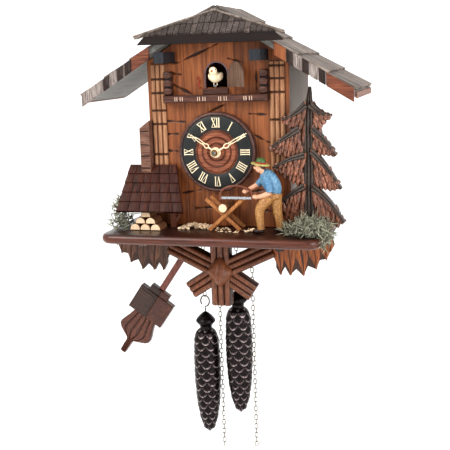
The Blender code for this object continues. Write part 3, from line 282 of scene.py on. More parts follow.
def speckle(tree, scale, stretch=(1, 1, 1), detail=4.0, rough=0.6):
    """A noise in the object's own metres, stretched along an axis by a small number there."""
    spot = add(tree, "ShaderNodeTexCoord").outputs["Object"]
    spot = add(tree, "ShaderNodeMapping", Vector=spot, Scale=tuple(scale * s for s in stretch)).outputs[0]
    return add(tree, "ShaderNodeTexNoise", Vector=spot, Scale=1.0, Detail=detail, Roughness=rough).outputs["Fac"]


def ramp(tree, value, low, high):
    """A share that runs from 0 at low to 1 at high."""
    return add(tree, "ShaderNodeMapRange", {"interpolation_type": "SMOOTHSTEP"}, _0=value, _1=low, _2=high).outputs[0]


def new_finish(name, **sockets):
    """(finish, its tree, its shader), with the shader's plain values set."""
    made = bpy.data.materials.new(name)
    made.use_nodes = True
    shader = made.node_tree.nodes["Principled BSDF"]
    for key, value in sockets.items():
        shader.inputs[key.replace("_", " ")].default_value = value
    return made, made.node_tree, shader


# %% [markdown]
# Stained wood has fine grain along one way, a slower drift of tone, darker stain left in every cut, and wax that
# shines unevenly. The cuts come from each piece's own "carve" values, and "tone" makes one shingle or plank lighter
# than the next.

# %% Wood
def mark_of(tree, name):
    """The piece's own value at each point, by the attribute's name."""
    return add(tree, "ShaderNodeAttribute", {"attribute_name": name}).outputs["Fac"]


def finish_off(tree, shader, colour, value, rough, bump=0.0, strength=0.5):
    """Links the colour, a roughness that goes from rough[0] to rough[1] with value, and a bump where there is one."""
    tree.links.new(colour, shader.inputs["Base Color"])
    roughness = add(tree, "ShaderNodeMapRange", _0=value, _3=rough[0], _4=rough[1]).outputs[0]
    tree.links.new(roughness, shader.inputs["Roughness"])
    if bump:
        rise = add(tree, "ShaderNodeBump", Height=value, Distance=bump, Strength=strength).outputs[0]
        tree.links.new(rise, shader.inputs["Normal"])


def wood(
    name, light, dark, cut=(30, 16, 10), grain=(1, 1, 0.06), fine=900, gloss=0.45, bump=0.00018, coat=0.0, marks=True
):
    """Grain is noise drawn out along the axis with the small number; fine is its scale and gloss its mean roughness."""
    made, tree, shader = new_finish(name, Coat_Weight=coat, Coat_Roughness=0.25, Specular_IOR_Level=0.32)
    grains = speckle(tree, fine, grain, 5.0, 0.65)
    drift = speckle(tree, fine / 14, grain, 2.0)
    colour = blend_of(tree, ramp(tree, grains, 0.32, 0.68), srgb(*dark), srgb(*light))
    colour = blend_of(tree, ramp(tree, drift, 0.35, 0.7), colour, blend_of(tree, 0.45, colour, srgb(*dark)))
    if marks:
        shade = add(tree, "ShaderNodeMapRange", _0=mark_of(tree, "tone"), _3=0.55, _4=1.45).outputs[0]
        grey = add(tree, "ShaderNodeCombineColor", _0=shade, _1=shade, _2=shade).outputs[0]
        colour = blend_of(tree, 1.0, colour, grey, "MULTIPLY")
        colour = blend_of(tree, mark_of(tree, "carve"), colour, srgb(*cut))
    finish_off(tree, shader, colour, grains, (gloss - 0.1, gloss + 0.2), bump, 0.8)
    return made


def metal(name, light, dark, rough=0.35, scale=500, metallic=1.0, marks=False):
    """Cast or drawn metal: two tones in small patches, roughness with them; a "carve" of 1 is a pale painted highlight.
    """
    made, tree, shader = new_finish(name, Metallic=metallic)
    spots = speckle(tree, scale, detail=5.0)
    colour = blend_of(tree, ramp(tree, spots, 0.35, 0.65), srgb(*dark), srgb(*light))
    if marks:
        # A pale pinkish painted highlight, mixed in where the piece's "carve" is 1.
        edge = blend_of(tree, ramp(tree, spots, 0.4, 0.6), srgb(118, 98, 98), srgb(232, 216, 212))
        colour = blend_of(tree, mark_of(tree, "carve"), colour, edge)
    finish_off(tree, shader, colour, spots, (rough - 0.08, rough + 0.18), 0.0001)
    return made


def plastic(name, light, dark, scale, edge, rough, coat=0.0):
    """Two near tones in soft patches; edge is where in the noise one tone starts to give way to the other."""
    made, tree, shader = new_finish(name, Coat_Weight=coat)
    tint = speckle(tree, scale)
    colour = blend_of(tree, ramp(tree, tint, edge, 1 - edge), srgb(*dark), srgb(*light))
    finish_off(tree, shader, colour, tint, rough)
    return made


# %% [markdown]
# The clock hangs in front of a pale sweep of paper, lit by large soft lights: one high on the left, one broad on the
# right that opens the shadows under the roof, and a bright sky.

# %% Paper sweep and lights
FLOOR_HEIGHT = -0.6


def paper_sweep():
    """One curved sheet: flat floor, a quarter circle of radius 0.6, then upright; carried along X in five lines."""
    turn = np.linspace(0, np.pi / 2, 16)
    y = np.concatenate([[-3.0, -1.0, 1.0], 1.6 + 0.6 * np.sin(turn), [2.2, 2.2]])
    z = np.concatenate([[0.0, 0.0, 0.0], 0.6 - 0.6 * np.cos(turn), [1.5, 3.0]]) + FLOOR_HEIGHT
    points = join(np.linspace(-4, 4, 5)[None], y[:, None], z[:, None])
    mesh = bpy.data.meshes.new("paper")
    quads = sheet_quads(len(y), 5)
    mesh.from_pydata(points.reshape(-1, 3).tolist(), [], quads.tolist())
    mesh.polygons.foreach_set("use_smooth", np.ones(len(quads), bool))
    finish, tree, shader = new_finish("pale_paper", Roughness=0.9)
    tree.links.new(blend_of(
        tree, speckle(tree, 30), srgb(250, 250, 250), srgb(255, 255, 255)
    ), shader.inputs["Base Color"])
    mesh.materials.append(finish)
    made = bpy.data.objects.new("paper", mesh)
    bpy.context.scene.collection.objects.link(made)


def soft_light(name, place, size, power, aim=(0.0, -0.1, -0.15)):
    """A square lamp at a place, turned to shine at aim."""
    lamp = bpy.data.lights.new(name, "AREA")
    lamp.size, lamp.energy = size, power
    made = bpy.data.objects.new(name, lamp)
    made.location = place
    way = np.array(place) - aim
    made.rotation_euler = (math.acos(way[2] / np.linalg.norm(way)), 0, math.atan2(way[0], -way[1]))
    bpy.context.scene.collection.objects.link(made)


paper_sweep()
soft_light("window", (-1.3, -1.7, 1.3), 1.2, 34)
soft_light("right_fill", (1.9, -1.2, 0.5), 1.4, 26)
sky = bpy.data.worlds.new("sky")
sky.use_nodes = True
sky.node_tree.nodes["Background"].inputs["Color"].default_value = (1, 1, 1, 1)
sky.node_tree.nodes["Background"].inputs["Strength"].default_value = 0.85
bpy.context.scene.world = sky
bpy.context.scene.view_settings.view_transform = "Standard"
bpy.context.scene.view_settings.look = "Medium High Contrast"

# %% [markdown]
# Each weight hangs on a light chain of oval wire links that stand across each other. One link is a ring of wire
# carried round a stadium shape; the chain is that link moved down by its pitch and turned a quarter each time.

# %% The four chains
LINK_PITCH, LINK_WIDTH, LINK_LENGTH, LINK_WIRE, FIRST_LINK_TURN = 0.0054, 0.0042, 0.0072, 0.00045, 0.25
BRASS_CHAIN = metal("old_brass_chain", (140, 127, 98), (66, 57, 41), 0.34, 900)


def chain_links(x, depth, top, bottom):
    """A link's middle line is a circle pulled long; a link at count n is turned n quarters about the upright."""
    turn, round_wire = circle(12), circle(5)[None, :, None]
    half, reach = LINK_WIDTH / 2 - LINK_WIRE, LINK_LENGTH / 2 - LINK_WIRE
    pulled = (reach - half) * np.sign(np.sin(turn)) * (np.abs(np.sin(turn)) > 0.1)
    middle = join(half * np.cos(turn), 0, pulled + half * np.sin(turn))
    out = join(np.cos(turn), 0, np.sin(turn))
    wire = np.cos(round_wire) * out[:, None] + np.sin(round_wire) * np.array([0, 1, 0])
    link = loft(middle[:, None] + LINK_WIRE * wire, round_path=True)
    count = int((top - bottom - LINK_LENGTH) / LINK_PITCH) + 1
    n = np.arange(count)
    spot = at(x, depth, bottom + LINK_LENGTH / 2 + (count - 1 - n) * LINK_PITCH)
    px, py, pz = link[0].T
    px, py = turn_by((n * np.pi / 2 + FIRST_LINK_TURN)[:, None], px, py)
    return several(link, join(px, py, pz) + spot[:, None], rng.uniform(0.3, 0.7, count))


CHAIN_DEPTH, SPOOL_HEIGHT, SPOOL_TOP, HOOK = 0.018, -0.05, 0.058, 0.0165
WEIGHTS = {"left": (-0.028, -0.0105, -0.183, -0.346), "right": (0.0105, 0.028, -0.156, -0.342)}
for side, (weight_x, free_x, cone_top, free_end) in WEIGHTS.items():
    strand = chain_links(weight_x, CHAIN_DEPTH, SPOOL_TOP, cone_top + HOOK)
    piece(f"links_weight_{side}", strand, f"weight_{side}", BRASS_CHAIN, f"chain_weight_{side}")
    strand = chain_links(free_x, CHAIN_DEPTH, SPOOL_HEIGHT, free_end)
    free = piece(f"links_free_{side}", strand, f"free_chain_{side}", BRASS_CHAIN, f"chain_free_{side}")
    route = at(free_x, CHAIN_DEPTH, np.linspace(SPOOL_HEIGHT, free_end, 40))

# %% [markdown]
# The weights are cast as pine cones. The cone is one surface of height along its axis and angle round it, and each
# scale adds a low wedge, thickest at its lower edge. Taking the greatest wedge at every point makes the scales
# overlap as real ones do; stacking modelled scales would need thousands of pieces.

# %% The pine-cone weights
CONE_S = np.array([
    0.0, 0.001, 0.0045, 0.009, 0.011, 0.013, 0.0165, 0.0195, 0.024, 0.032, 0.055, 0.08, 0.108, 0.128, 0.14, 0.1452
])
CONE_R = np.array([
    0.0, 0.0024, 0.0066, 0.0104, 0.0112, 0.01, 0.007, 0.0066, 0.01, 0.0126, 0.0136, 0.0136, 0.012, 0.0088, 0.0048,
    0.0004
])
SCALE_PITCH, SCALES_ROUND, SCALE_RISE, SCALE_FIRST = 0.007, 7, 0.0018, 0.0225
CAST_IRON = metal("cast_cone", (42, 32, 32), (11, 9, 10), 0.25, 700, 0.75, True)


def cone_weight(x, top):
    """Radius = the cone's profile + the greatest wedge: rise * (1 - t)^0.8, t = 0 at a scale's curved lower edge."""
    s = np.concatenate([np.linspace(0, 0.02, 26), np.linspace(0.0205, 0.1452, 370)])
    turn = circle(154)
    s, turn = np.meshgrid(s, turn, indexing="ij")
    rise, painted_rim_highlight = np.zeros_like(s), np.zeros_like(s)
    for shift in (0, 1, 2):
        row = np.ceil((s - SCALE_FIRST) / SCALE_PITCH) + shift
        across = (turn * SCALES_ROUND / (2 * np.pi) + 0.5 * (row % 2)) % 1.0 * 2 - 1
        edge = SCALE_FIRST + row * SCALE_PITCH - 0.0052 * across**2
        t = (edge - s) / (2.4 * SCALE_PITCH)
        there = (t >= 0) & (t < 1) & (s > SCALE_FIRST - 0.003)
        wedge = np.where(there, SCALE_RISE * (1 - t) ** 0.8 * (1 - 0.35 * across**2), 0)
        front = wedge > rise
        rise = np.where(front, wedge, rise)
        # This value is a painted highlight: a pale crescent along each scale's lower edge, fading towards its sides.
        painted_rim_highlight = np.where(front, 0.62 * smooth(0.16, 0.01, t) * (1 - across**2) ** 1.3, painted_rim_highlight)
    rise *= smooth(0.146, 0.139, s) * smooth(0.019, 0.024, s)
    radius = np.interp(s, CONE_S, CONE_R) + rise
    rings = at(x + radius * np.cos(turn), CHAIN_DEPTH + radius * np.sin(turn), top - s)
    return (*loft(rings), {"carve": (painted_rim_highlight * smooth(0.019, 0.024, s)).ravel(), "tone": 0.5})


for side, (x, _, top, _) in WEIGHTS.items():
    piece(
        f"pine_cone_{side}", cone_weight(x, top), f"weight_{side}", CAST_IRON, f"cone_{side}", soft=False
    )

# %% [markdown]
# Weathered shingles cover the roof. Each one is a thin slab, thicker at its lower end, and lies on the row below it.
# A slab is a loft of four rings; its slope, its place in the row and a small random lift come from arrays, so one
# sum lays the whole slope. In front, the rows stop at the plane of the small hipped gable.

# %% Wood finishes of the roof and case
SHINGLE_WOOD = wood(
    "weathered_shingle", (156, 144, 134), (66, 54, 48), (30, 22, 20), (0.05, 1, 0.05), 900, 0.58, 0.0003
)
HIP_WOOD = wood("hip_shingle", (112, 100, 94), (34, 25, 23), (30, 20, 18), (1, 1, 0.05), 900, 0.6, 0.0003)
EDGE_WOOD = wood("bare_edge_wood", (142, 98, 76), (88, 54, 42), grain=(0.05, 0.05, 1), marks=False)
FASCIA_WOOD = wood("near_black_fascia", (36, 19, 13), (12, 6, 4), gloss=0.55, grain=(0.05, 1, 1), marks=False)
UNDER_PAINT = wood("grey_green_paint", (152, 150, 144), (122, 121, 117), (70, 70, 70), (1, 0.1, 1), 300, 0.6, 0.0001)
ROOF_PITCH, RIDGE, ROOF_SPAN, ROOF_FRONT, ROOF_BACK = math.radians(31), 0.1525, 0.15, -0.0165, 0.102
HIP_LOW, HIP_HIGH, HIP_FRONT, HIP_APEX, HIP_BACK = 0.1125, 0.1222, -0.0243, 0.145, -0.002
HIP_RUN = 0.0265 / 0.04
BOARD_BENDS = np.array([0.0004, 0.035, 0.0665, 0.1465])


def roof_top(x):
    return RIDGE - np.abs(x) * math.tan(ROOF_PITCH)


def hip_line(height):
    """Depth at which the front hip's plane reaches a height; the slopes begin behind it."""
    return HIP_FRONT + 0.0015 + (height - HIP_LOW) * HIP_RUN


# %% [markdown]
# With the finishes made, the slopes are laid. One template slab serves every shingle; the rows run from the ridge
# down, and the board under them and its bare edges follow the same line.

# %% The two slopes
def slabs(near, far, first, last, low_lift, high_lift, thick, ease=0.0005):
    """Slab templates as (n, 16 points, 3) of (along the slope, depth, lift): four rings of four corners each,
    the outer two drawn in by ease; the lift grows from low_lift at the near end to high_lift at the far end."""
    grow = np.array([ease, 0.0, 0.0, ease])[:, None]
    level = np.array([0.0, ease, 1.0, 1.0])[:, None]
    corner_far, corner_last = np.array([0, 1, 1, 0]), np.array([0, 0, 1, 1])
    near, far, first, last, low_lift, high_lift = (
        np.asarray(v, float)[:, None, None] for v in (near, far, first, last, low_lift, high_lift)
    )
    along = near + grow + (far - near - 2 * grow) * corner_far
    depth = first + grow + (last - first - 2 * grow) * corner_last
    top = low_lift + (high_lift - low_lift) * corner_far
    lift = top - thick * (1 - level) - np.array([0, 0, ease, 0])[:, None]
    return join(along, depth, lift).reshape(len(near), 16, 3)


SLAB_FACES = loft(np.stack([
    [(x, y, z) for x, y in ((0, 0), (1, 0), (1, 1), (0, 1))] for z in range(4)
]).astype(float))[1]


def slope_shingles(side, rows=5):
    """Row by row from the ridge: shingle edges are even steps in depth plus a random share; each corner's depth is
    held behind the hip. Height = the slope's line + lift square to it."""
    step = (ROOF_SPAN - 0.001) / rows
    near, far, first, last = [], [], [], []
    for row in range(rows):
        cuts = np.linspace(ROOF_FRONT, ROOF_BACK, 12) + np.r_[0, rng.uniform(-0.0022, 0.0022, 10), 0]
        count = len(cuts) - 1
        near.append(np.full(count, max(row * step - 0.002, 0.0012)))
        far.append(row * step + step + rng.uniform(-0.0014, 0.0005 if row == rows - 1 else 0.0018, count))
        first.append(cuts[:-1] + 0.00015)
        last.append(cuts[1:] - 0.00015)
    near, far, first, last = (np.concatenate(v) for v in (near, far, first, last))
    first = np.maximum(first, hip_line(roof_top(far)) - 0.004 * (far < 0.07))
    whole = last - first > 0.0015
    near, far, first, last = near[whole], far[whole], first[whole], last[whole]
    raise_by = rng.uniform(0, 0.0005, len(near))
    places = slabs(near, far, first, last, raise_by - 0.0012, raise_by + 0.0008, 0.0022)
    x, depth, lift = np.moveaxis(places, -1, 0)
    depth = np.minimum(np.maximum(depth, hip_line(roof_top(x))), ROOF_BACK)
    world = at(
        side * (x + lift * math.sin(ROOF_PITCH) * (x > 0.004)), depth, roof_top(x) + lift * math.cos(ROOF_PITCH)
    )
    if side < 0:
        world = world[:, ::-1]
    return several((None, SLAB_FACES), np.clip(world, cad_box[0], cad_box[1]), rng.uniform(0.12, 0.9, len(near)))


def under_board(side):
    """The board below the shingles: its section is the slope's, its front follows the hip's plane."""
    x = BOARD_BENDS
    front = np.maximum(hip_line(roof_top(x)), ROOF_FRONT + 0.0005)
    top = roof_top(x) - 0.0036
    low = roof_top(x) - 0.008 / math.cos(ROOF_PITCH)
    rings = [
        [(a, f, t), (a, ROOF_BACK - 0.0022, t), (a, ROOF_BACK - 0.0022, b), (a, f, b)]
        for a, f, t, b in zip(x, front, top, low)
    ]
    a, d, z = np.moveaxis(np.array(rings), -1, 0)
    return loft(at(side * a, d, z))


def board_edges(side):
    """Strips of bare wood on the board's lower edge and on its back edge, cut to the same section."""
    x = BOARD_BENDS
    top, low = roof_top(x) - 0.0034, roof_top(x) - 0.0084 / math.cos(ROOF_PITCH)
    back = np.stack([
        at(side * x, d, z)
        for d, z in (
            (ROOF_BACK - 0.002, top), (ROOF_BACK - 0.0003, top), (ROOF_BACK - 0.0003, low), (ROOF_BACK - 0.002, low)
        )
    ], axis=1)
    end, high, deep = np.array([0.1466, 0.1482, 0.1482, 0.1466]), roof_top(0.1466) - 0.004, roof_top(0.1466) - 0.0098
    eave = np.stack([
        at(side * end, d, np.array([high, high - 0.001, deep - 0.001, deep]))
        for d in (ROOF_FRONT + 0.0008, ROOF_BACK - 0.0022)
    ])
    return [loft(back), loft(eave)]


for side, name in ((-1, "left"), (1, "right")):
    piece(f"roof_board_edges_{name}", board_edges(side), "case", EDGE_WOOD)
    piece(f"roof_board_{name}", under_board(side), "case", UNDER_PAINT, f"roof_{name}")
    piece(f"shingles_{name}", slope_shingles(side), "case", SHINGLE_WOOD)

# %% [markdown]
# The small hipped gable closes the roof in front: two rows of grey shingles on a triangle, over a nearly black
# fascia board that tapers to a point at both ends. A light edge steps up along each side.

# %% The hipped gable
def hip_place(x, up, lift):
    """On the triangle: up runs 0 at the fascia to 1 at the apex; x narrows with it; lift is square to the plane."""
    slope = math.atan2(HIP_APEX - HIP_HIGH, HIP_BACK - HIP_FRONT)
    return at(
        x, HIP_FRONT + (HIP_BACK - HIP_FRONT) * up - lift * math.sin(slope),
        HIP_HIGH + (HIP_APEX - HIP_HIGH) * up + lift * math.cos(slope)
    )


def hip_shingles():
    """Two rows; a shingle's sides are held inside the triangle |x| < half * (1 - up)."""
    parts = []
    for low, high, count, half in ((-0.05, 0.46, 22, 0.069), (0.4, 0.97, 14, 0.044)):
        edges = np.linspace(-half, half, count + 1)
        for start, end in zip(edges[:-1], edges[1:]):
            drop = low + rng.uniform(0, 0.05)
            x = np.array([start + 0.0003, end - 0.0003])
            top = np.minimum(high, 1 - (np.abs(x) + 0.0006) / 0.07)
            if top.max() < drop + 0.06:
                continue
            top = np.maximum(top, drop + 0.02)
            rings = [
                [
                    hip_place(x[0], drop, lift * 1.3), hip_place(x[1], drop, lift * 1.3),
                    hip_place(x[1], top[1], lift * 0.5), hip_place(x[0], top[0], lift * 0.5)
                ]
                for lift in (-0.0004, 0.0006, 0.0014)
            ]
            parts.append(marked(loft(rings), tone=rng.uniform(0.15, 0.85)))
    return parts


def hip_edges():
    parts = []
    for side in (-1, 1):
        for low, high, rise in ((-0.1, 0.36, 0.0026), (0.3, 0.7, 0.0022), (0.64, 1.04, 0.0018)):
            x = side * 0.0705 * (1 - np.array([low, high])) + side * 0.001
            rings = [
                [
                    hip_place(x[0] - side * w, low, lift + d), hip_place(x[0] + side * 0.0012, low, lift + d),
                    hip_place(x[1] + side * 0.0012, high, lift), hip_place(x[1] - side * w, high, lift)
                ]
                for lift, d, w in ((-0.002, 0, 0.0022), (rise - 0.0004, 0.0004, 0.0022), (rise, 0.0004, 0.0016))
            ]
            parts.append(marked(loft(rings), tone=0.8))
    return parts


piece("hip_shingles", hip_shingles(), "case", HIP_WOOD)
piece("hip_edges", hip_edges(), "case", SHINGLE_WOOD)
wear("roof_hip", FASCIA_WOOD)

# %% [markdown]
# Barge boards cover the front ends of the slopes. Their middle is carved into blocks, some burnt black and some
# brushed with silver, with pale cuts between. Each block is a slanted board of its own between two places across.

# %% The barge boards
PANEL_WOOD = wood(
    "orange_brown_panel", (158, 96, 54), (108, 60, 32), (42, 20, 12), (1, 1, 0.05), 330, 0.42, 0.0002, 0.15
)
RED_WOOD = wood("red_brown_wood", (140, 82, 54), (78, 38, 26), (30, 15, 11), (0.06, 1, 1), 800, 0.36, 0.0002, 0.25)
BURNT_WOOD = wood("burnt_black_wood", (66, 44, 36), (20, 12, 10), gloss=0.35, coat=0.3)
SILVERED_WOOD = wood("silvered_wood", (178, 168, 161), (84, 68, 62), gloss=0.45)


def barge_block(side, near, far, low, high, front, back, ease=0.0005):
    """A slanted block that follows the slope: low and high are shares of the board's height from its foot."""
    x = np.array([near, far])
    foot, head = roof_top(x) - 0.001 - 0.0135 * (1 - low), roof_top(x) - 0.001 - 0.0135 * (1 - high)
    return outline_block([
        (side * x[0], foot[0]), (side * x[1], foot[1]), (side * x[1], head[1]), (side * x[0], head[0])
    ], front, back, ease)


BARGE_BACK = -0.0168
LAYOUT = {
    "right": (1, ((0.0664, 0.0786, PANEL_WOOD), (0.119, 0.146, RED_WOOD)), (
        (0.079, 0.0856, BURNT_WOOD), (0.087, 0.0936, SILVERED_WOOD), (0.095, 0.1014, BURNT_WOOD),
        (0.103, 0.1098, SILVERED_WOOD), (0.1112, 0.1176, BURNT_WOOD)
    )),
    "left": (-1, ((0.0664, 0.0866, RED_WOOD), (0.1205, 0.146, SILVERED_WOOD)), (
        (0.0872, 0.095, BURNT_WOOD), (0.0964, 0.104, BURNT_WOOD), (0.1054, 0.1118, SILVERED_WOOD),
        (0.113, 0.12, BURNT_WOOD)
    )),
}
for name, (side, plain, carved) in LAYOUT.items():
    core = [barge_block(side, 0.0664, 0.146, 0.06, 0.94, BARGE_BACK - 0.002, BARGE_BACK)]
    piece(f"barge_core_{name}", core, "case", SILVERED_WOOD, f"barge_{name}")
    for count, (near, far, finish) in enumerate(plain):
        parts = [barge_block(side, near, far, 0.0, 1.0, BARGE_BACK - 0.0038, BARGE_BACK - 0.001, 0.0007)]
        piece(f"barge_plain_{name}_{count}", parts, "case", finish)
    for finish in (BURNT_WOOD, SILVERED_WOOD):
        parts = [
            barge_block(
                side, near + 0.0011 * k, far - 0.0011 * k, 0.14 * k, 1 - 0.1 * k, BARGE_BACK - 0.0026 - 0.0006 * k,
                BARGE_BACK - 0.0015, 0.0004
            )
            for near, far, one in carved if one is finish for k in (0, 1, 2)
        ]
        piece(f"barge_blocks_{name}_{finish.name}", parts, "case", finish)

# %% [markdown]
# The front panel is a broad board with knife-cut cracks: long tapered grooves, stained dark. Its surface is a grid
# of places across and up, and each crack lowers the grid near its line. The doorway's faces are left out, and
# Solidify gives the sheet its 5.7 mm.

# %% The front panel
CRACKS = np.array([
    (-58.6, 93.8, -41.2, 94.0, 1.6),
    (-41.2, 94.0, 3.0, 112.3, 2.2),
    (12.8, 96.7, 28.6, 91.2, 1.7),
    (-53.5, 83.2, -39.0, 81.3, 1.8),
    (-50.0, 71.7, -25.4, 59.0, 2.6),
    (42.8, 86.2, 42.9, 63.9, 1.8),
    (-21.9, 36.0, 13.3, 51.8, 1.3),
    (-59.4, 32.7, -36.0, 31.4, 1.9),
    (-59.0, 18.7, -44.0, 18.6, 1.9),
    (-61.0, 1.0, -45.5, 0.0, 1.8),
    (33.8, 39.2, 55.3, 38.0, 1.9),
    (36.7, 18.1, 55.6, 8.9, 1.6),
    (-47.6, -45.9, -21.3, -41.7, 1.8),
    (28.0, -44.0, 55.0, -40.0, 1.6),
    (-30.0, -62.0, -6.0, -60.0, 1.6),
    (44.0, -62.0, 60.0, -64.0, 1.5),
]) / 1000
ARCH_HALF, ARCH_LOW, ARCH_HIGH = 0.012, 0.0667, 0.0927
PANEL_HALF, PANEL_FOOT, PANEL_THICK, CRACK_DEPTH = 0.0768, -0.0806, 0.0056, 0.0011


def in_arch(x, z):
    """Inside the doorway: a half circle over a rectangle."""
    spring = ARCH_HIGH - ARCH_HALF
    head = (x**2 + (z - spring) ** 2 < ARCH_HALF**2) & (z >= spring)
    return head | ((np.abs(x) < ARCH_HALF) & (z > ARCH_LOW) & (z < spring))


def panel_sheet():
    """Depth = sum over cracks of 1.1 mm * S-curve of (distance to the line / half width), the half width tapering."""
    across, up = np.meshgrid(np.linspace(-PANEL_HALF, PANEL_HALF, 190), np.linspace(0, 1, 242), indexing="xy")
    top = np.minimum(roof_top(across) - 0.0108, 0.1405)
    x, z = across, PANEL_FOOT + up * (top - PANEL_FOOT)
    cut = np.zeros_like(x)
    for x0, z0, x1, z1, wide in CRACKS:
        way, long = np.array([x1 - x0, z1 - z0]), math.hypot(x1 - x0, z1 - z0)
        t = np.clip(((x - x0) * way[0] + (z - z0) * way[1]) / long**2, 0, 1)
        wobble = 0.0005 * np.sin(t * 9 + x0 * 900)
        gap = np.abs(np.hypot(x - x0 - t * way[0], z - z0 - t * way[1]) + wobble * (t > 0) * (t < 1))
        half = wide / 2 * (0.35 + 1.0 * np.sin(np.pi * np.clip(t, 0.04, 0.97)) ** 0.6) * 1.15
        cut = np.maximum(cut, smooth(half, half * 0.25, gap))
    planks = np.array([-0.06, -0.036, -0.01, 0.02, 0.043, 0.059])
    joint = np.abs(x[..., None] - planks).min(axis=-1)
    cut = np.maximum(cut, 0.35 * smooth(0.0007, 0.0002, joint))
    tone = np.array([0.42, 0.6, 0.5, 0.64, 0.48, 0.6, 0.52])[np.searchsorted(planks, x.ravel())]
    quads = sheet_quads(*x.shape)
    middle_x, middle_z = x.ravel()[quads].mean(axis=1), z.ravel()[quads].mean(axis=1)
    marks = {"carve": cut.ravel(), "tone": tone}
    return at(x, CRACK_DEPTH * cut, z).reshape(-1, 3), [quads[~in_arch(middle_x, middle_z)]], marks


panel = piece("carved_panel", panel_sheet(), "case", PANEL_WOOD, "front_panel")
thick = panel.modifiers.new("board", "SOLIDIFY")
thick.thickness, thick.offset = PANEL_THICK, -1.0

# %% [markdown]
# A thin painted bead frames the doorway. Half-round reeds flank the panel in threes, with rows of punched dots that
# bundle them; the reed's radius simply dips at each dot.

# %% Doorway bead and reeds
MAUVE_PAINT = wood("mauve_grey_paint", (128, 110, 116), (92, 74, 80), gloss=0.5, marks=False)
REED_WOOD = wood("tan_reed", (190, 148, 112), (138, 92, 66), (48, 22, 14), (1, 1, 0.05), 800, 0.5, 0.0002)


def doorway_bead():
    """A flat bead carried round the arch: two legs and a half circle, 1.4 mm wide."""
    turn = np.linspace(0, np.pi, 21)
    spring = ARCH_HIGH - ARCH_HALF
    line = np.concatenate([
        [(1, 0, -1.0), (1, 0, -0.3)], join(np.cos(turn), np.sin(turn), turn * 0), [(-1, 0, -0.3), (-1, 0, -1.0)]
    ])
    rings = [
        [
            at(r * c, d, np.where(leg < 0, spring + leg * (spring - ARCH_LOW), spring + r * s))
            for r, d in ((0.0117, 0.001), (0.0117, -0.0004), (0.012, -0.0006), (0.0131, -0.0005), (0.0131, 0.0005))
        ]
        for c, s, leg in line
    ]
    return loft(np.array(rings))


def reed(x, low, high, dots, radius=0.00262):
    """A half-round column: at each height a half circle whose radius dips by 45 % at a dot and ends in a point."""
    z = np.unique(np.concatenate([
        np.linspace(low, low + 0.006, 5), np.linspace(low + 0.006, high, 12),
        (np.array(dots)[:, None] + np.array([-0.0016, -0.0008, 0, 0.0008, 0.0016])).ravel()
    ]))
    dip = np.abs(z[:, None] - dots).min(axis=1)
    hole = smooth(0.0015, 0.0003, dip)
    r = radius * (1 - 0.45 * hole) * (0.12 + 0.88 * smooth(low - 0.002, low + 0.006, z))
    turn = np.linspace(0, np.pi, 9)
    rings = at(x + r[:, None] * np.cos(turn), -0.0002 - r[:, None] * 1.35 * np.sin(turn), z[:, None] + 0 * turn)
    return (*loft(rings), {"carve": np.repeat(hole, 9), "tone": rng.uniform(0.4, 0.6)})


piece("doorway_bead", doorway_bead(), "case", MAUVE_PAINT)
REED_X = 0.0648
for side, name, dots in (
    (-1, "left", (0.077, 0.0625, 0.044, 0.0296, -0.0028)), (1, "right", (0.088, 0.075, 0.061, 0.033, 0.005))
):
    # The board behind the reeds is darkened (carve 0.9) as painted shade in the crevices between them.
    backing = box(side * REED_X - 0.0082, side * REED_X + 0.0082, -0.018, 0.0915, -0.0012, -0.0002, 0.0003)
    columns = [reed(side * REED_X + dx, -0.0238, 0.0918, np.array(dots)) for dx in (-0.0055, 0, 0.0055)]
    piece(
        f"reed_bundle_{name}", [marked(backing, carve=0.9)] + columns, "case", REED_WOOD, f"reeds_{name}"
    )

# %% [markdown]
# The cuckoo's balcony is a dark rail with short pale bars painted on it and a stack of three log ends at each end.

# %% The balcony
RAIL_WOOD = wood("mauve_brown_rail", (98, 64, 52), (54, 32, 26), (26, 14, 12), (0.05, 1, 1), 800, 0.4, 0.0002)
PALE_BARS = wood("pale_bars", (226, 200, 180), (190, 160, 140), marks=False)


def log_end(x, z, wide, tall, front, back):
    """A short log seen end on: an eased superellipse |x|^3 + |z|^3 = 1 carried back."""
    turn = circle(16)
    c, s = np.cos(turn), np.sin(turn)
    size = (np.abs(c) ** 3 + np.abs(s) ** 3) ** (-1 / 3)
    return loft([
        at(x + wide / 2 * size * c * k, depth, z + tall / 2 * size * s * k)
        for depth, k in ((back, 1.0), (front + 0.0012, 1.0), (front + 0.0003, 0.9), (front, 0.72))
    ])


SIDES = (-1, 1)
rail = [
    box(-0.0562, 0.0562, 0.0522, 0.0598, -0.012, -0.0004, 0.0009),
    box(-0.0134, 0.0134, 0.0598, 0.0662, -0.006, -0.0004)
]
# Blocks behind each log stack, darkened (carve 1.0) as painted shade in the gaps between the log ends.
rail += [marked(box(s * 0.048, s * 0.0556, 0.06, 0.0846, -0.006, -0.0004), carve=1.0) for s in SIDES]
rail += [
    marked(log_end(s * 0.0517, z, 0.0088, 0.007, -0.009, -0.0006), tone=0.62) for s in SIDES
    for z in (0.064, 0.0725, 0.081)
]
piece("balcony_rail", rail, "case", RAIL_WOOD, "balcony")
bars_x = [group + step for group in (-0.043, -0.018, 0.005, 0.032) for step in (0.0, 0.0022, 0.0058, 0.0082)]
bars = [box(x, x + 0.0008, 0.0538, 0.0582, -0.0122, -0.0115, 0.0001) for x in bars_x]
piece("rail_bars", bars, "case", PALE_BARS)

# %% [markdown]
# The dial is turned: a dark rounded bezel, a black ring, and a red-brown middle with fine rings cut in it. Each is a
# closed profile of radius and depth carried round the dial's axis.

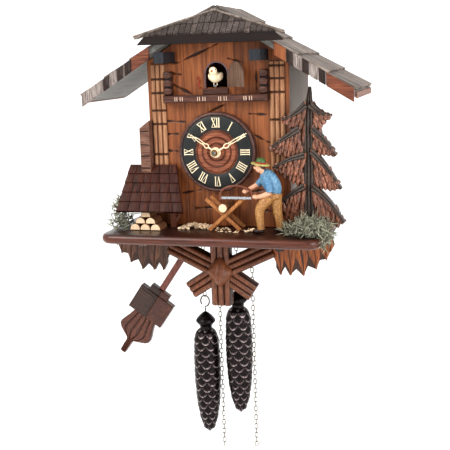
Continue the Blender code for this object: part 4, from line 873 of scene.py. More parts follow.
# %% The dial
BEZEL_WOOD = wood("dark_bezel", (104, 70, 60), (52, 32, 30), (20, 12, 10), (1, 1, 1), 500, 0.32, 0.0001, 0.3)
CENTRE_WOOD = wood("turned_centre", (168, 104, 72), (104, 56, 38), (46, 22, 16), (0.08, 1, 1), 700, 0.38, 0.0001, 0.2)
BLACK_RING = plastic("black_grey_ring", (26, 29, 29), (12, 16, 16), 220, 0.3, (0.38, 0.6))


def dial_turning(profile, steps=96, carve=None):
    """Carries a closed (radius, depth) profile round the dial's axis."""
    profile, turn = np.array(profile, float), circle(steps)
    r, d = profile.T
    made = loft(at(
        r * np.sin(turn)[:, None], np.broadcast_to(d, (steps, len(d))), r * np.cos(turn)[:, None]
    ), round_path=True)
    return made if carve is None else (*made, {"carve": np.tile(carve, steps)})


arc = np.linspace(0, np.pi, 9)
bezel = [(0.042, -0.0004)] + [
    (0.0403 + 0.0017 * np.cos(a), -0.0073 - 0.0017 * np.sin(a)) for a in arc
] + [(0.0386, -0.0004)]
piece("bezel", dial_turning(bezel), "case", BEZEL_WOOD, "dial_board")
r = np.linspace(0.0036, 0.0233, 60)
cuts = np.abs(r[:, None] - np.array([0.0085, 0.0098, 0.015, 0.016, 0.0212, 0.0224])).min(axis=1)
groove = smooth(0.0006, 0.0001, cuts)
middle = [(0.0036, -0.0004)] + list(zip(
    r, -0.0085 + 0.0007 * groove + 0.0006 * smooth(0.021, 0.0233, r)
)) + [(0.0233, -0.0004)]
piece("dial_middle", dial_turning(middle, carve=np.r_[0, groove * 0.8, 0]), "case", CENTRE_WOOD)
ring = [
    (0.0236, -0.0068), (0.0236, -0.008), (0.0239, -0.0082), (0.0381, -0.0082), (0.0384, -0.008), (0.0384, -0.0068)
]
piece("black_dial_ring", dial_turning(ring), "case", BLACK_RING, "chapter_ring")

# %% [markdown]
# Twelve raised Roman numerals stand on the ring with their feet to the centre. A numeral is a row of thick and thin
# strokes with short serifs; each stroke is drawn upright and then turned to its hour.

# %% The numerals
CREAM = plastic("cream_plastic", (250, 232, 200), (232, 214, 176), 260, 0.35, (0.38, 0.5), 0.3)
THICK, THIN, SERIF = 0.00105, 0.0005, 0.0005
STROKES = {
    "I": (0.0023, [((0, -1), (0, 1), THICK)]),
    "V": (0.0045, [((-0.95, 1), (0, -1), THICK), ((0.95, 1), (0, -1), THIN)]),
    "X": (0.0048, [((-0.95, 1), (0.95, -1), THICK), ((0.95, 1), (-0.95, -1), THIN)]),
}
NUMERAL_FRONT, NUMERAL_BACK = -0.0086, -0.0081


def numeral(hour, letters, high=0.0048, middle=0.031):
    """Local places (u across, middle + w outwards) turned clockwise to the hour, a twelfth of a circle for each."""
    wide = sum(STROKES[c][0] for c in letters)
    parts, u = [], -wide / 2

    def stroke(start, end, width):
        start, end = (turn_by(-hour * math.pi / 6, along, middle + out) for along, out in (start, end))
        parts.append(bar(start, end, width, NUMERAL_FRONT, NUMERAL_BACK, 0.0001))

    for c in letters:
        room, lines = STROKES[c]
        u += room / 2
        half = room / 2 - 0.0003
        for (a, b), (e, f), width in lines:
            stroke((u + a * half, b * high), (u + e * half, f * high), width)
        for w in (-high, high):
            reach = half * (1.15 if c != "V" or w > 0 else 0.4)
            stroke((u - reach, w), (u + reach, w), SERIF)
        u += room / 2
    return parts


piece("numerals", [
    part for hour, word in enumerate("I II III IIII V VI VII VIII IX X XI XII".split(), 1)
    for part in numeral(hour, word)
], "case", CREAM)

# %% [markdown]
# The hands are pierced cream plastic: a round hub, a stem, a small ring, then a long open lens and a point. Each
# outline is a flat wire loop; the hub is turned round the arbor.

# %% The hands
def loop(centre_out, long, wide, wire, depth, angle, sides=28):
    """A closed ring of wire round an ellipse that lies along the hand at an angle from twelve."""
    turn = circle(sides)
    along, across = centre_out + long * np.cos(turn), wide * np.sin(turn)
    ring = circle(6)
    out = join(np.cos(turn) * wide, np.sin(turn) * long)
    out = unit(out)
    a = along[:, None] + wire * np.cos(ring) * out[:, :1]
    c = across[:, None] + wire * np.cos(ring) * out[:, 1:]
    x, z = turn_by(-angle, c, a)
    return loft(at(x, depth + 0.0005 * np.sin(ring) + 0 * x, z), round_path=True)


def hand(length, depth, angle, bore):
    """Hub, stem, three loops and a point, each at its share of the hand's length."""
    way = np.array([math.sin(angle), math.cos(angle)])
    parts = [dial_turning([
        (bore, depth + 0.0006), (bore, depth - 0.0006), (bore + 0.0017, depth - 0.0006), (bore + 0.0021, depth),
        (bore + 0.0017, depth + 0.0006)
    ], 24)]
    parts += [bar(way * (bore + 0.0012), way * length * 0.3, 0.0016, depth - 0.0005, depth + 0.0005, 0.0002)]
    parts += [
        loop(length * 0.37, length * 0.075, 0.0021, 0.0006, depth, angle),
        loop(length * 0.64, length * 0.2, 0.0013, 0.0005, depth, angle),
        loop(length * 0.475, length * 0.035, 0.0012, 0.0006, depth, angle)
    ]
    parts += [bar(way * length * 0.83, way * length * 0.995, 0.0009, depth - 0.0005, depth + 0.0005, 0.0003)]
    return parts


HOUR_DEPTH, MINUTE_DEPTH, TEN_PAST_TEN = -0.0116, -0.0161, (10 + 10 / 60) / 12
hour = hand(0.033, HOUR_DEPTH, 2 * math.pi * TEN_PAST_TEN, 0.0035)
minute = hand(0.041, MINUTE_DEPTH, 2 * math.pi * 10 / 60, 0.0023)
piece("pierced_hour_hand", hour, "hour_hand_body", CREAM, "hour_hand")
piece("pierced_minute_hand", minute, "minute_hand_body", CREAM, "minute_hand")

# %% [markdown]
# Carved leaves, star arms and boughs all share one form: a bar with hollow flutes along it. Its front is a wave
# across its width, and the hollows are marked so that the stain stays in them.

# %% A fluted bar
def fluted(spine, half, front, back, flutes=3, proud=0.0012, crown=0.0, fine=8, tone=0.5, bare=1.0):
    """Along a spine of (x, height): depth = front + proud * (1 - |sin(flutes * pi * v / 2)|^0.7) + crown * v^2."""
    spine = np.asarray(spine, float)
    half, front, back = (np.broadcast_to(np.asarray(a, float), len(spine)) for a in (half, front, back))
    way = np.gradient(spine, axis=0)
    way = unit(way)
    side = join(-way[:, 1], way[:, 0])
    v = np.linspace(-1, 1, flutes * fine + 1)
    wave = np.abs(np.sin(flutes * np.pi * (v + 1) / 2)) ** 0.7
    depth = front[:, None] + proud * (1 - wave) + crown * v**2
    depth = np.concatenate([np.minimum(depth, back[:, None] - 0.0002), back[:, None], back[:, None]], axis=1)
    v = np.r_[v, 1, -1]
    x = spine[:, :1] + side[:, :1] * half[:, None] * v
    z = spine[:, 1:] + side[:, 1:] * half[:, None] * v
    stain = np.r_[(1 - wave) ** 1.5 * bare, 0.4, 0.4]
    return (*loft(at(x, depth, z)), {"carve": np.tile(stain, len(spine)), "tone": tone})


def bend(points, count=24, passes=6):
    """A soft curve through rough points: even steps between them, then each averaged with its neighbours 1:2:1."""
    points = np.asarray(points, float)
    reach = np.r_[0, np.cumsum(np.linalg.norm(np.diff(points, axis=0), axis=1))]
    line = np.stack([np.interp(np.linspace(0, reach[-1], count), reach, column) for column in points.T], axis=1)
    for _ in range(passes):
        line[1:-1] = (line[:-2] + 2 * line[1:-1] + line[2:]) / 4
    return line


# %% [markdown]
# The fir is carved from a board in four tiers. Each side of a tier has a dark sloping edge that runs from the trunk
# down to a tip, and three rows of short rounded drops overlap below it, each row a little in front of the one under it.

# %% The fir tree
FIR_WOOD = wood("glossy_fir_wood", (162, 104, 76), (58, 33, 24), (18, 9, 7), (1, 1, 0.3), 900, 0.2, 0.0004, 0.8)
FIR_DARK = wood("dark_fir_edge", (92, 78, 68), (40, 30, 27), (20, 14, 12), (1, 1, 0.3), 1100, 0.38, 0.0004, 0.25)
TRUNK_X, TREE_BACK = 0.099, -0.0078


def drop_lobe(top, low, wide, front, tone):
    """A hanging drop: half width = wide * (0.6 + 0.4 sin(0.8 pi u)) * sqrt(1 - u^4), its middle proud of its sides."""
    u = np.linspace(0, 1, 10)
    spine = np.asarray(top) + (np.asarray(low) - top) * u[:, None]
    half = wide * (0.6 + 0.4 * np.sin(0.8 * np.pi * u)) * np.sqrt(np.clip(1 - u**4, 0.03, 1))
    return fluted(
        spine, half, front + 0.0012 * (1 - np.sin(np.pi * (0.2 + 0.6 * u))), TREE_BACK, 1, 0.0026, 0.0, 8, tone, 0.85
    )


def fir_tier(hub, tip, inner, side, count, bulge):
    """The slope is the line from hub to tip, lifted by bulge * 4u(1 - u); drops reach from it to the line inner-tip."""
    u = np.linspace(0, 1, 18)
    hub, tip, inner = np.array(hub), np.array(tip), np.array(inner)
    line = hub + (tip - hub) * u[:, None] + join(0 * u, bulge * 4 * u * (1 - u))
    thick = 0.0024 * (1 - u) + 0.0011
    slope = fluted(
        line - join(0 * u, thick * 0.7), thick, -0.0171 + 0.0022 * u, TREE_BACK, 2, 0.001, 0.0, 6, 0.5, 0.6
    )
    backing = outline_block([
        (TRUNK_X, hub[1] - 0.004), tuple(hub - (0, 0.004)), tuple(tip - (side * 0.002, 0.001)), tuple(inner),
        (TRUNK_X, inner[1])
    ][::side], -0.0112, TREE_BACK, 0.0005)
    # The backing board behind the drops is darkened (carve 0.55, tone 0.3) as painted shade in the gaps between them.
    drops = [marked(backing, carve=0.55, tone=0.3)]
    for layer in range(3):
        for k in range(count):
            share = (k + 0.15 + 0.45 * (layer % 2)) / count
            top = np.array([np.interp(share, u, line[:, 0]), np.interp(share, u, line[:, 1])])
            base = inner + (tip - inner) * share + (0, -0.0024 * math.sin(math.pi * share) - 0.0012)
            high, low = 0.6 - 0.29 * layer, 1.06 - 0.29 * layer
            jitter = rng.normal(0, 0.0007, (2, 2)) + [[0, 0.0012], [side * 0.0014, 0]]
            ends = top + (base - top) * np.array([[high], [low]]) + jitter
            ends[1, 1] = min(ends[1, 1], ends[0, 1] - 0.0034)
            wide = 0.6 * abs(tip[0] - TRUNK_X) / count
            drops.append(drop_lobe(
                ends[0], ends[1], wide, -0.013 - 0.001 * layer + rng.uniform(-0.0004, 0.0004), rng.uniform(0.25, 0.9)
            ))
    return slope, drops


slopes, drops = [], []
for tier in (
    ((0.1012, 0.051), (0.121, 0.0385), (0.105, 0.024), 1, 4, -0.0026),
    ((0.0966, 0.051), (0.072, 0.0352), (0.0945, 0.0125), -1, 5, -0.0026),
    ((0.103, 0.027), (0.1265, -0.0025), (0.104, 0.003), 1, 5, 0.0022),
    ((0.09, 0.027), (0.0577, 0.0045), (0.0935, -0.006), -1, 8, 0.0004),
    ((0.102, 0.004), (0.1316, -0.0362), (0.105, -0.0325), 1, 6, 0.003),
    ((0.095, 0.0000), (0.062, -0.015), (0.0935, -0.034), -1, 7, 0.002),
    ((0.103, -0.033), (0.1345, -0.0705), (0.106, -0.0785), 1, 6, 0.004),
    ((0.0945, -0.032), (0.063, -0.056), (0.093, -0.0785), -1, 7, 0.002),
):
    slope, hanging = fir_tier(*tier)
    slopes.append(slope)
    drops += hanging
piece("fir_drops", drops, "case", FIR_WOOD, "fir_tree")
trunk = fluted(
    [
        (0.1004, 0.066), (0.1001, 0.06), (0.0996, 0.054), (0.099, 0.047), (0.0988, 0.02), (0.0985, -0.03),
        (0.0982, -0.0805)
    ],
    [0.0012, 0.0022, 0.003, 0.005, 0.005, 0.0054, 0.006], -0.0134, TREE_BACK, 3, 0.0016, 0.001, 6, 0.42, 0.6
)
piece("fir_trunk_and_edges", slopes + [trunk], "case", FIR_DARK)

# %% [markdown]
# Dry moss grows at the tree's foot and behind the shed. A sprig is a three-sided blade that curves and narrows; a few
# hundred of them start at random places and lean at random, all from the same arrays.

# %% The moss
MOSS = wood("grey_green_moss", (198, 196, 172), (64, 66, 54), grain=(1, 1, 1), fine=1500, gloss=0.8)


def sprigs(count, low, high, reach, lean=(0, 0, 0.35), floor=-0.0806, thick=0.00062):
    """place = root + way * t + sag * t^2; radius = thick * sin(pi * (0.1 + 0.88 t)); root, way and sag are random."""
    root = rng.uniform(low, high, (count, 3))
    root[:, 2] = low[2] + (high[2] - low[2]) * rng.uniform(0, 1, count) ** 1.4
    way = rng.normal(0, 0.75, (count, 3)) + lean
    way = unit(way)
    long = rng.uniform(*reach, count)[:, None, None]
    t = np.linspace(0, 1, 5)[None, :, None]
    sag = rng.normal(0, 0.55, (count, 1, 3)) * long
    line = root[:, None] + way[:, None] * long * t + sag * t**2
    across = np.cross(way, rng.normal(0, 1, (count, 3)))
    across = unit(across)
    other = np.cross(way, across)
    turn = circle(3)
    size = (thick * np.sin(np.pi * (0.1 + 0.88 * t)))[..., None]
    ring = np.cos(turn)[:, None] * across[:, None, None] + np.sin(turn)[:, None] * other[:, None, None]
    places = (line[:, :, None] + size * ring).reshape(count, 15, 3)
    world = at(places[..., 0], np.clip(places[..., 1], -0.0595, 0.09), np.clip(places[..., 2], floor, 0.05))
    faces = loft(np.stack([[(math.cos(a), math.sin(a), h) for a in turn] for h in range(5)]))[1]
    return several((None, faces), world, rng.uniform(0.05, 1.0, count))


tufts = [
    sprigs(420, (0.079, -0.05, -0.08), (0.112, -0.02, -0.07), (0.003, 0.0075)),
    sprigs(520, (0.09, -0.053, -0.078), (0.116, -0.018, -0.064), (0.003, 0.0075)),
    sprigs(420, (0.1145, -0.052, -0.09), (0.121, 0.004, -0.066), (0.003, 0.007), (0.3, -0.1, 0.1), -0.096),
    sprigs(360, (-0.112, -0.038, -0.08), (-0.095, -0.012, -0.054), (0.003, 0.008), (-0.3, -0.1, 0.4)),
    sprigs(120, (-0.11, -0.028, -0.058), (-0.099, -0.012, -0.047), (0.003, 0.007), (-0.3, 0, 0.4)),
]
piece("moss", tufts, "case", MOSS, soft=False)

# %% [markdown]
# The base is one board with a hole for the chains. Its edge is a rounded nose, carried round the plan with eased front
# corners; the top is stained darker than the nose. The nose's lower curve and underside are darkened too: painted
# shade.

# %% The base board
BASE_WOOD = wood("base_board_wood", (110, 52, 26), (56, 24, 13), (44, 24, 19), (0.05, 1, 1), 700, 0.3, 0.0002, 0.4)
BASE_TOP, BASE_THICK, NOSE = -0.081, 0.01, 0.004


def base_frame():
    """A picture frame: at each place round the plan, a closed profile from the hole's edge out round the nose."""
    turn = np.linspace(0, np.pi / 2, 7)
    half, front, back, ease = 0.1135, -0.057, 0.1024, 0.01
    left = join(-(half - ease) - ease * np.cos(turn), front + ease - ease * np.sin(turn))
    right = left[::-1] * (-1, 1)
    edge = np.linspace(-1, 1, 9)[1:-1]
    sides = np.linspace(back, front + ease, 8)
    plan = np.concatenate([
        np.stack([np.full(7, -half), sides[:-1]], 1), left, np.stack([edge * (half - ease), np.full(7, front)], 1),
        right, np.stack([np.full(7, half), sides[:-1][::-1]], 1), np.stack([-edge * half, np.full(7, back)], 1)
    ])
    way = np.roll(plan, -1, axis=0) - np.roll(plan, 1, axis=0)
    out = join(way[:, 1], -way[:, 0])
    out = unit(out)
    out *= -np.sign(np.einsum("ij,ij->i", out, (0.0, 0.02) - plan))[:, None] * (plan[:, 1:] < back - 1e-6)
    hole = np.clip(plan, (-0.062, 0.008), (0.062, 0.084)) + (plan - (0, 0.046)) * 1e-4
    swell = np.linspace(0, np.pi, 11)
    rings = [at(hole[:, 0], hole[:, 1], BASE_TOP)]
    for share, depth_share in zip(np.sin(swell), (1 - np.cos(swell)) / 2):
        edge_x, edge_y = (plan + out * NOSE * share).T
        rings.append(at(edge_x, edge_y, BASE_TOP - BASE_THICK * depth_share))
    rings.append(at(hole[:, 0], hole[:, 1], BASE_TOP - BASE_THICK))
    made = loft(np.stack(rings, axis=1), round_path=True)
    # Carve per ring: stain on the top near the hole, none round the nose's front, painted shade on its lower curve and
    # underside.
    return (*made, {"carve": np.tile(np.r_[0.9, 0.9, 0.55, 0.1, np.zeros(6), 0.3, 0.6, 0.6], len(plan)), "tone": 0.5})


piece("base_board_wood", base_frame(), "case", BASE_WOOD, "base_board")

# %% [markdown]
# Under the base hangs a carved star of five fluted arms with a nose-like boss, between two leaf carvings with
# pointed lobes.

# %% Star and leaves
STAR_WOOD = wood("star_wood", (136, 82, 50), (80, 44, 28), (30, 14, 10), (1, 1, 0.2), 800, 0.36, 0.0002, 0.25)
LEAF_LIGHT = wood("leaf_orange_wood", (178, 104, 52), (114, 60, 30), (34, 18, 12), (1, 1, 0.1), 800, 0.4, 0.0002, 0.2)
LEAF_DARK = wood("leaf_dark_wood", (118, 78, 56), (58, 36, 28), (22, 12, 10), (1, 1, 0.1), 800, 0.4, 0.0002, 0.2)
centre = np.array([0.0, -0.129])


def star_arm(angle, reach, front):
    """A fluted bar from the middle of the star outwards, its end a little drawn in."""
    way = np.array([math.cos(angle), math.sin(angle)])
    return fluted(
        [centre + way * r for r in (0.002, reach * 0.97, reach)], [0.0097, 0.0097, 0.0094],
        [front, front, front + 0.001], 0.0018, 3, 0.0022, 0.0, 8, rng.uniform(0.42, 0.6)
    )


arms = [
    star_arm(math.radians(a), reach, -0.0115 + 0.0003 * k)
    for k, (a, reach) in enumerate(((25.5, 0.063), (154.5, 0.063), (-33, 0.042), (-147, 0.042)))
]
arms.append(fluted(
    [(0, -0.0915), (0, -0.1655), (0, -0.167)], [0.0107, 0.0107, 0.0104], [-0.0121, -0.0121, -0.011], 0.0019, 3,
    0.0022, 0.0, 8, 0.5
))
spin = circle(24)
c, s = np.cos(spin), np.sin(spin)
diamond = 1 / (np.abs(c) ** 1.15 + np.abs(s) ** 1.15) ** (1 / 1.15)
boss = np.stack([
    at(0.015 * k * diamond * c, d, -0.129 - drop + 0.0175 * k * diamond * s)
    for k, d, drop in (
        (1.0, -0.0105, 0), (0.96, -0.0128, 0), (0.72, -0.0165, 0.0012), (0.42, -0.02, 0.003), (0.2, -0.0216, 0.0044),
        (0.03, -0.0219, 0.005)
    )
])
piece("carved_star", arms, "case", STAR_WOOD, "star_bracket")
piece("star_boss", [marked(loft(boss), tone=0.62)], "case", STAR_WOOD, soft=False)
for side, name, finish in ((1, "right", LEAF_LIGHT), (-1, "left", LEAF_DARK)):
    lobes = []
    for k, (share, drop, wide) in enumerate((
        (0.97, 0.012, 0.005), (0.89, 0.0215, 0.0056), (0.71, 0.0315, 0.0066), (0.485, 0.039, 0.0076),
        (0.255, 0.039, 0.0072), (0.075, 0.039, 0.006)
    )):
        x = 0.0615 + 0.0595 * share
        spine = bend([
            (side * (x - 0.004), -0.0916), (side * x, -0.0916 - drop * 0.6), (side * (x + 0.0005), -0.0913 - drop)
        ], 9, 2)
        u = np.linspace(0, 1, 9)
        lobes.append(fluted(
            spine, 1.12 * wide * (1 - 0.93 * smooth(0.45, 1.0, u)), -0.0094 + 0.0006 * (k % 2), -0.004, 2, 0.0014,
            0.001, 7, rng.uniform(0.4, 0.65), 0.6
        ))
    piece(f"leaf_lobes_{name}", lobes, "case", finish)
    wear(f"leaf_{name}", LEAF_DARK)
piece("dark_block", [outline_block([
    (0.0612, -0.0935), (0.0705, -0.0935), (0.0712, -0.1035), (0.0618, -0.104)
], -0.013, -0.006, 0.0008)], "case", BURNT_WOOD)
piece("silver_block", [fluted(
    [(-0.0895, -0.0925), (-0.088, -0.103)], [0.0052, 0.0046], -0.0122, -0.006, 3, 0.0014
)], "case", SILVERED_WOOD)

# %% [markdown]
# The pendulum is a wooden stick with two stepped blocks and a carved leaf, drawn here at its swing: places across and
# along it are turned about the pin that it hangs from.

# %% The pendulum
ROD_WOOD = wood("mauve_brown_rod", (150, 96, 84), (96, 56, 50), gloss=0.4, grain=(1, 1, 0.2))
# The bob's left blocks take a darker, browner copy of its red wood: painted shade on that half, with the red right half
# as the lit side.
BOB_SHADED_HALF = wood("bob_shaded_half_wood", (78, 56, 46), (36, 23, 19), (24, 14, 12), (1, 1, 1), 600, 0.38, 0.0002, 0.2)
BOB_RED = wood("bob_red_wood", (102, 58, 40), (54, 28, 20), (28, 14, 12), (1, 1, 1), 600, 0.34, 0.0002, 0.3)
SWING, PIN_HEIGHT = math.radians(34.5), -0.032


def hung(points):
    """(across, along) to (x, height), turned by the swing about the pin."""
    across, drop = turn_by(SWING, *np.asarray(points, float).T)
    return join(across, PIN_HEIGHT - drop)


def hung_box(a0, a1, l0, l1, front, back, ease=0.0007):
    """A block of the pendulum between two places across and two along it."""
    return outline_block(hung([(a0, l0), (a1, l0), (a1, l1), (a0, l1)]), front, back, ease)


stick = hung_box(-0.0038, 0.0038, 0.0024, 0.1727, 0.0638, 0.0682)
piece("pendulum_stick", [stick], "pendulum", ROD_WOOD, "pendulum_rod")
# Left half of the bob, in the painted-shade copy of the wood.
dark = [
    hung_box(-0.0133, 0.001, 0.1731, 0.1812, 0.0615, 0.0706),
    hung_box(-0.0238, 0.0014, 0.1812, 0.2143, 0.061, 0.0709),
    hung_box(-0.0215, -0.0006, 0.185, 0.2125, 0.0604, 0.062, 0.0005)
]
red = [
    hung_box(0.0008, 0.0133, 0.1731, 0.1812, 0.0618, 0.0703), hung_box(0.0012, 0.0238, 0.1812, 0.2143, 0.0613, 0.0706)
]
u = np.array([0.213, 0.218, 0.224, 0.231, 0.237, 0.241, 0.2445, 0.248, 0.2505, 0.253, 0.262, 0.2705])
half = np.array([0.0146, 0.0158, 0.0175, 0.02, 0.022, 0.0216, 0.0186, 0.012, 0.0062, 0.004, 0.0039, 0.0036])
red.append(fluted(hung(join(0 * u, u)), half, 0.0618, 0.0702, 5, 0.0016, 0.0008, 7, 0.8, 0.7))
piece(
    "bob_shaded_half_blocks", [marked(part, tone=t) for part, t in zip(dark, (0.4, 0.45, 0.6))], "pendulum", BOB_SHADED_HALF,
    "pendulum_bob"
)
piece("bob_red_blocks_and_leaf", red, "pendulum", BOB_RED)

# %% [markdown]
# The lean-to has a roof of dark red-brown boards in five courses. A place on it is a mix of its four corners, and
# the lift is square to the slope.

# %% The shed
SHED_WOOD = wood("dark_red_shed_wood", (84, 42, 28), (44, 20, 13), (26, 12, 10), (1, 0.1, 0.1), 800, 0.4, 0.0002, 0.2)


def shed_place(u, w, lift):
    """u across, w down the slope, each 0 to 1: corners mixed by u and w, lifted along (-0.769, 0.639)."""
    left, right = -0.1003 - 0.0037 * w, -0.0472 + 0.0187 * w
    return at(left + (right - left) * u, -0.0046 - 0.0374 * w - 0.769 * lift, -0.0135 - 0.045 * w + 0.639 * lift)


def shed_slab(u0, u1, w0, w1, low, high0, high1):
    """A board between two places across and two down, its top rising from high0 above to high1 at its lower end."""
    corner_u, corner_w = np.array([u0, u1, u1, u0]), np.array([w0, w0, w1, w1])
    rise = np.array([high0, high0, high1, high1])
    squeeze = 0.006 * np.array([1, -1, -1, 1])
    return loft([
        shed_place(corner_u, corner_w, low), shed_place(corner_u, corner_w, rise - 0.0003),
        shed_place(corner_u + squeeze, corner_w, rise)
    ])


slabs_made = [marked(shed_slab(0.0, 1.0, 0.0, 1.0, -0.003, -0.0006, -0.0006), tone=0.35, carve=0.5)]
for row in range(5):
    cuts = np.linspace(0, 1, 7) + np.r_[0, rng.uniform(-0.02, 0.02, 5), 0]
    for u0, u1 in zip(cuts[:-1], cuts[1:]):
        slabs_made.append(marked(shed_slab(
            u0 + 0.004, u1 - 0.004, row * 0.2 + 0.004, row * 0.2 + 0.2, -0.0008, -0.0003, 0.0007
        ), tone=rng.uniform(0.38, 0.62)))
piece("shed_roof_boards", slabs_made, "case", SHED_WOOD, "shed_roof")
piece("shed_brace", [bar((-0.05, -0.079), (-0.042, -0.0665), 0.0034, -0.0135, -0.01)], "case", RED_WOOD)

# %% [markdown]
# Split logs lie under the shed, flat side down. The bark is one loft and the pale cut face another, a little proud
# of it. Chips of wood lie about the sawhorse: blunt six-sided crumbs at random.

# %% Logs and chips
BARK = wood("log_bark", (150, 108, 76), (92, 60, 42), marks=False)
CUT_WOOD = wood("cream_cut_wood", (246, 226, 198), (222, 190, 152), (120, 80, 50), (1, 1, 1), 700, 0.6, 0.0001)


def split_log(x, z, size, front, back):
    """Half a circle over a flat foot, carried back."""
    turn = np.linspace(0, np.pi, 13)
    outline = join(x + size * np.cos(turn), z + 0.0011 + (size - 0.0001) * np.sin(turn))
    return outline_block([(x - size, z), (x + size, z), *outline[1:-1]], front, back, 0.0003)


bark, cut_faces = [], []
for row in range(3):
    for k in range(3 - row):
        x, z = -0.075 + (k - (2 - row) / 2) * 0.0116, -0.0807 + row * 0.0068
        front = -0.033 + row * 0.0013
        bark.append(split_log(x, z, 0.0057, front, -0.012))
        cut_faces.append(marked(
            split_log(x, z + 0.0003, 0.0052, front - 0.0004, front + 0.001), tone=rng.uniform(0.45, 0.6)
        ))
piece("split_logs", bark, "case", BARK, "woodpile")
piece("split_log_faces", cut_faces, "case", CUT_WOOD)


def chips(count, low, high, size):
    """Crumbs: a squashed six-sided ring at three heights, each turned and stretched at random."""
    turn, level, wide = circle(6), np.array([[-1.0], [0.1], [1.0]]), np.array([[0.75], [1.0], [0.45]])
    crumb = join(wide * np.cos(turn), wide * np.sin(turn), level)
    faces = loft(crumb)[1]
    angle, stretch = rng.uniform(0, np.pi, (count, 1)), rng.uniform(0.5, 1.2, (count, 1, 3)) * size * (1.5, 0.8, 0.5)
    x, y, z = np.moveaxis(crumb.reshape(1, 18, 3) * stretch * rng.uniform(0.85, 1.15, (count, 18, 3)), -1, 0)
    x, y = turn_by(angle, x, y)
    root = rng.uniform(low, high, (count, 3))
    heap = 1 - ((root[:, 0] - (low[0] + high[0]) / 2) / (high[0] - low[0]) * 2) ** 2
    root[:, 2] = low[2] + (root[:, 2] - low[2]) * heap
    places = at(root[:, :1] + x, root[:, 1:2] + y, root[:, 2:] + z)
    return several((None, faces), places, rng.uniform(0.2, 0.75, count))


heaps = [
    chips(110, (-0.04, -0.023, -0.0798), (-0.006, -0.008, -0.075), 0.0021),
    chips(46, (0.036, -0.031, -0.0798), (0.05, -0.022, -0.077), 0.0017),
    chips(30, (-0.006, -0.036, -0.08), (0.034, -0.012, -0.0797), 0.0012)
]
piece("wood_chips", heaps, "case", CUT_WOOD)

# %% [markdown]
# The sawhorse is two pairs of crossed legs and a stay, with a round log in its forks. A sawyer leans over it with
# a bow saw: an arched frame and a toothed blade.

# %% Sawhorse, log and bow saw
HORSE_WOOD = wood("sawhorse_wood", (196, 136, 84), (140, 88, 50), (60, 34, 20), (1, 1, 0.3), 900, 0.45, 0.0002)
BLADE_STEEL = metal("saw_blade_steel", (205, 208, 210), (150, 152, 156), 0.25, 900)
HORSE_X, FOOT, LOG_Z = 0.012, -0.0807, -0.0554
legs = [
    bar(
        (HORSE_X - side * 0.0165, FOOT + 0.0014), (HORSE_X + side * 0.02, FOOT + 0.0339), 0.0038,
        depth - 0.0012 * side - 0.0015, depth - 0.0012 * side + 0.0015
    )
    for depth in (-0.027, -0.01) for side in (-1, 1)
]
legs.append(tube(at(HORSE_X, np.linspace(-0.0275, -0.0095, 6), -0.0646), 0.0013))
piece("sawhorse_legs", legs, "case", HORSE_WOOD, "sawhorse")
spin = circle(28)
log_rings = [
    at(HORSE_X + r * np.cos(spin), d, LOG_Z + r * np.sin(spin))
    for r, d in (
        (0.004, -0.033), (0.0045, -0.0328), (0.0047, -0.0322), (0.0046, -0.02), (0.0047, -0.0048), (0.0042, -0.0042)
    )
]
log_cut = [
    at(HORSE_X + r * np.cos(spin), d, LOG_Z + r * np.sin(spin))
    for r, d in ((0.0043, -0.0322), (0.0043, -0.0331), (0.004, -0.0334))
]
piece("round_log", [loft(log_rings)], "case", BARK, "saw_log")
piece("round_log_face", [loft(log_cut)], "case", CUT_WOOD)
SAW_X, BLADE_Z, SAW_DEPTH = 0.044, -0.0462, -0.031
u = np.linspace(0, 1, 25)
bow = join(
    SAW_X - 0.0352 * (1 - np.cos(np.pi * u)) / 2, 0 * u + SAW_DEPTH,
    BLADE_Z + 0.0022 + 0.012 * np.sin(np.pi * u) ** 0.8
)
frame_bars = [tube(at(bow[:, 0], bow[:, 1], bow[:, 2]), 0.0013, 10)]
frame_bars += [
    tube(at(x, SAW_DEPTH, np.linspace(BLADE_Z - 0.0006, BLADE_Z + 0.0052, 5)), 0.0013, 10) for x in (0.0436, 0.0094)
]
piece("saw_bow", frame_bars, "woodcutter", RED_WOOD, "bow_saw")
teeth = np.linspace(SAW_X - 0.0352, SAW_X - 0.0004, 41)
blade_line = join(teeth, BLADE_Z + 0.0007 * (np.arange(41) % 2))
piece("saw_blade", [outline_block(
    np.concatenate([blade_line, [(SAW_X - 0.0004, BLADE_Z + 0.003), (SAW_X - 0.0352, BLADE_Z + 0.003)]]),
    SAW_DEPTH - 0.0004, SAW_DEPTH + 0.0004, 0.0001
)], "woodcutter", BLADE_STEEL)

# %% [markdown]
# The sawyer is a small painted figure. Limbs are tubes along soft curves whose radius changes from hip to ankle and
# from elbow to wrist; body and head are leaning ovals; the hat is turned. The face is plain and calm.

# %% The sawyer
def paint(name, light, dark, gloss=0.42):
    return wood(name, light, dark, grain=(1, 1, 1), fine=500, gloss=gloss, bump=0.00008, coat=0.25, marks=False)


SHIRT = paint("blue_shirt_paint", (128, 168, 190), (60, 106, 142))
SKIN = paint("skin_paint", (238, 190, 158), (214, 158, 126))
TROUSERS = paint("tan_trouser_paint", (196, 150, 92), (138, 92, 54), 0.35)
BOOTS = paint("dark_boot_paint", (58, 36, 30), (30, 18, 16))
BRIM = paint("straw_brim_paint", (214, 204, 132), (160, 156, 92))
CROWN = paint("green_crown_paint", (86, 120, 66), (52, 82, 44))
BAND = paint("red_band_paint", (178, 52, 40), (130, 34, 28))
HAIR = paint("brown_hair_paint", (98, 62, 40), (62, 38, 26))
BODY_DEPTH = -0.0265


def limb(points, radii):
    """A soft tube through (x, depth counted from the body's, height) places, its radius read off along the way."""
    line = bend(np.array(points) + (0, BODY_DEPTH, 0), 22, 8)
    return tube(at(*line.T), np.interp(np.linspace(0, 1, 22), np.linspace(0, 1, len(radii)), radii), 12)


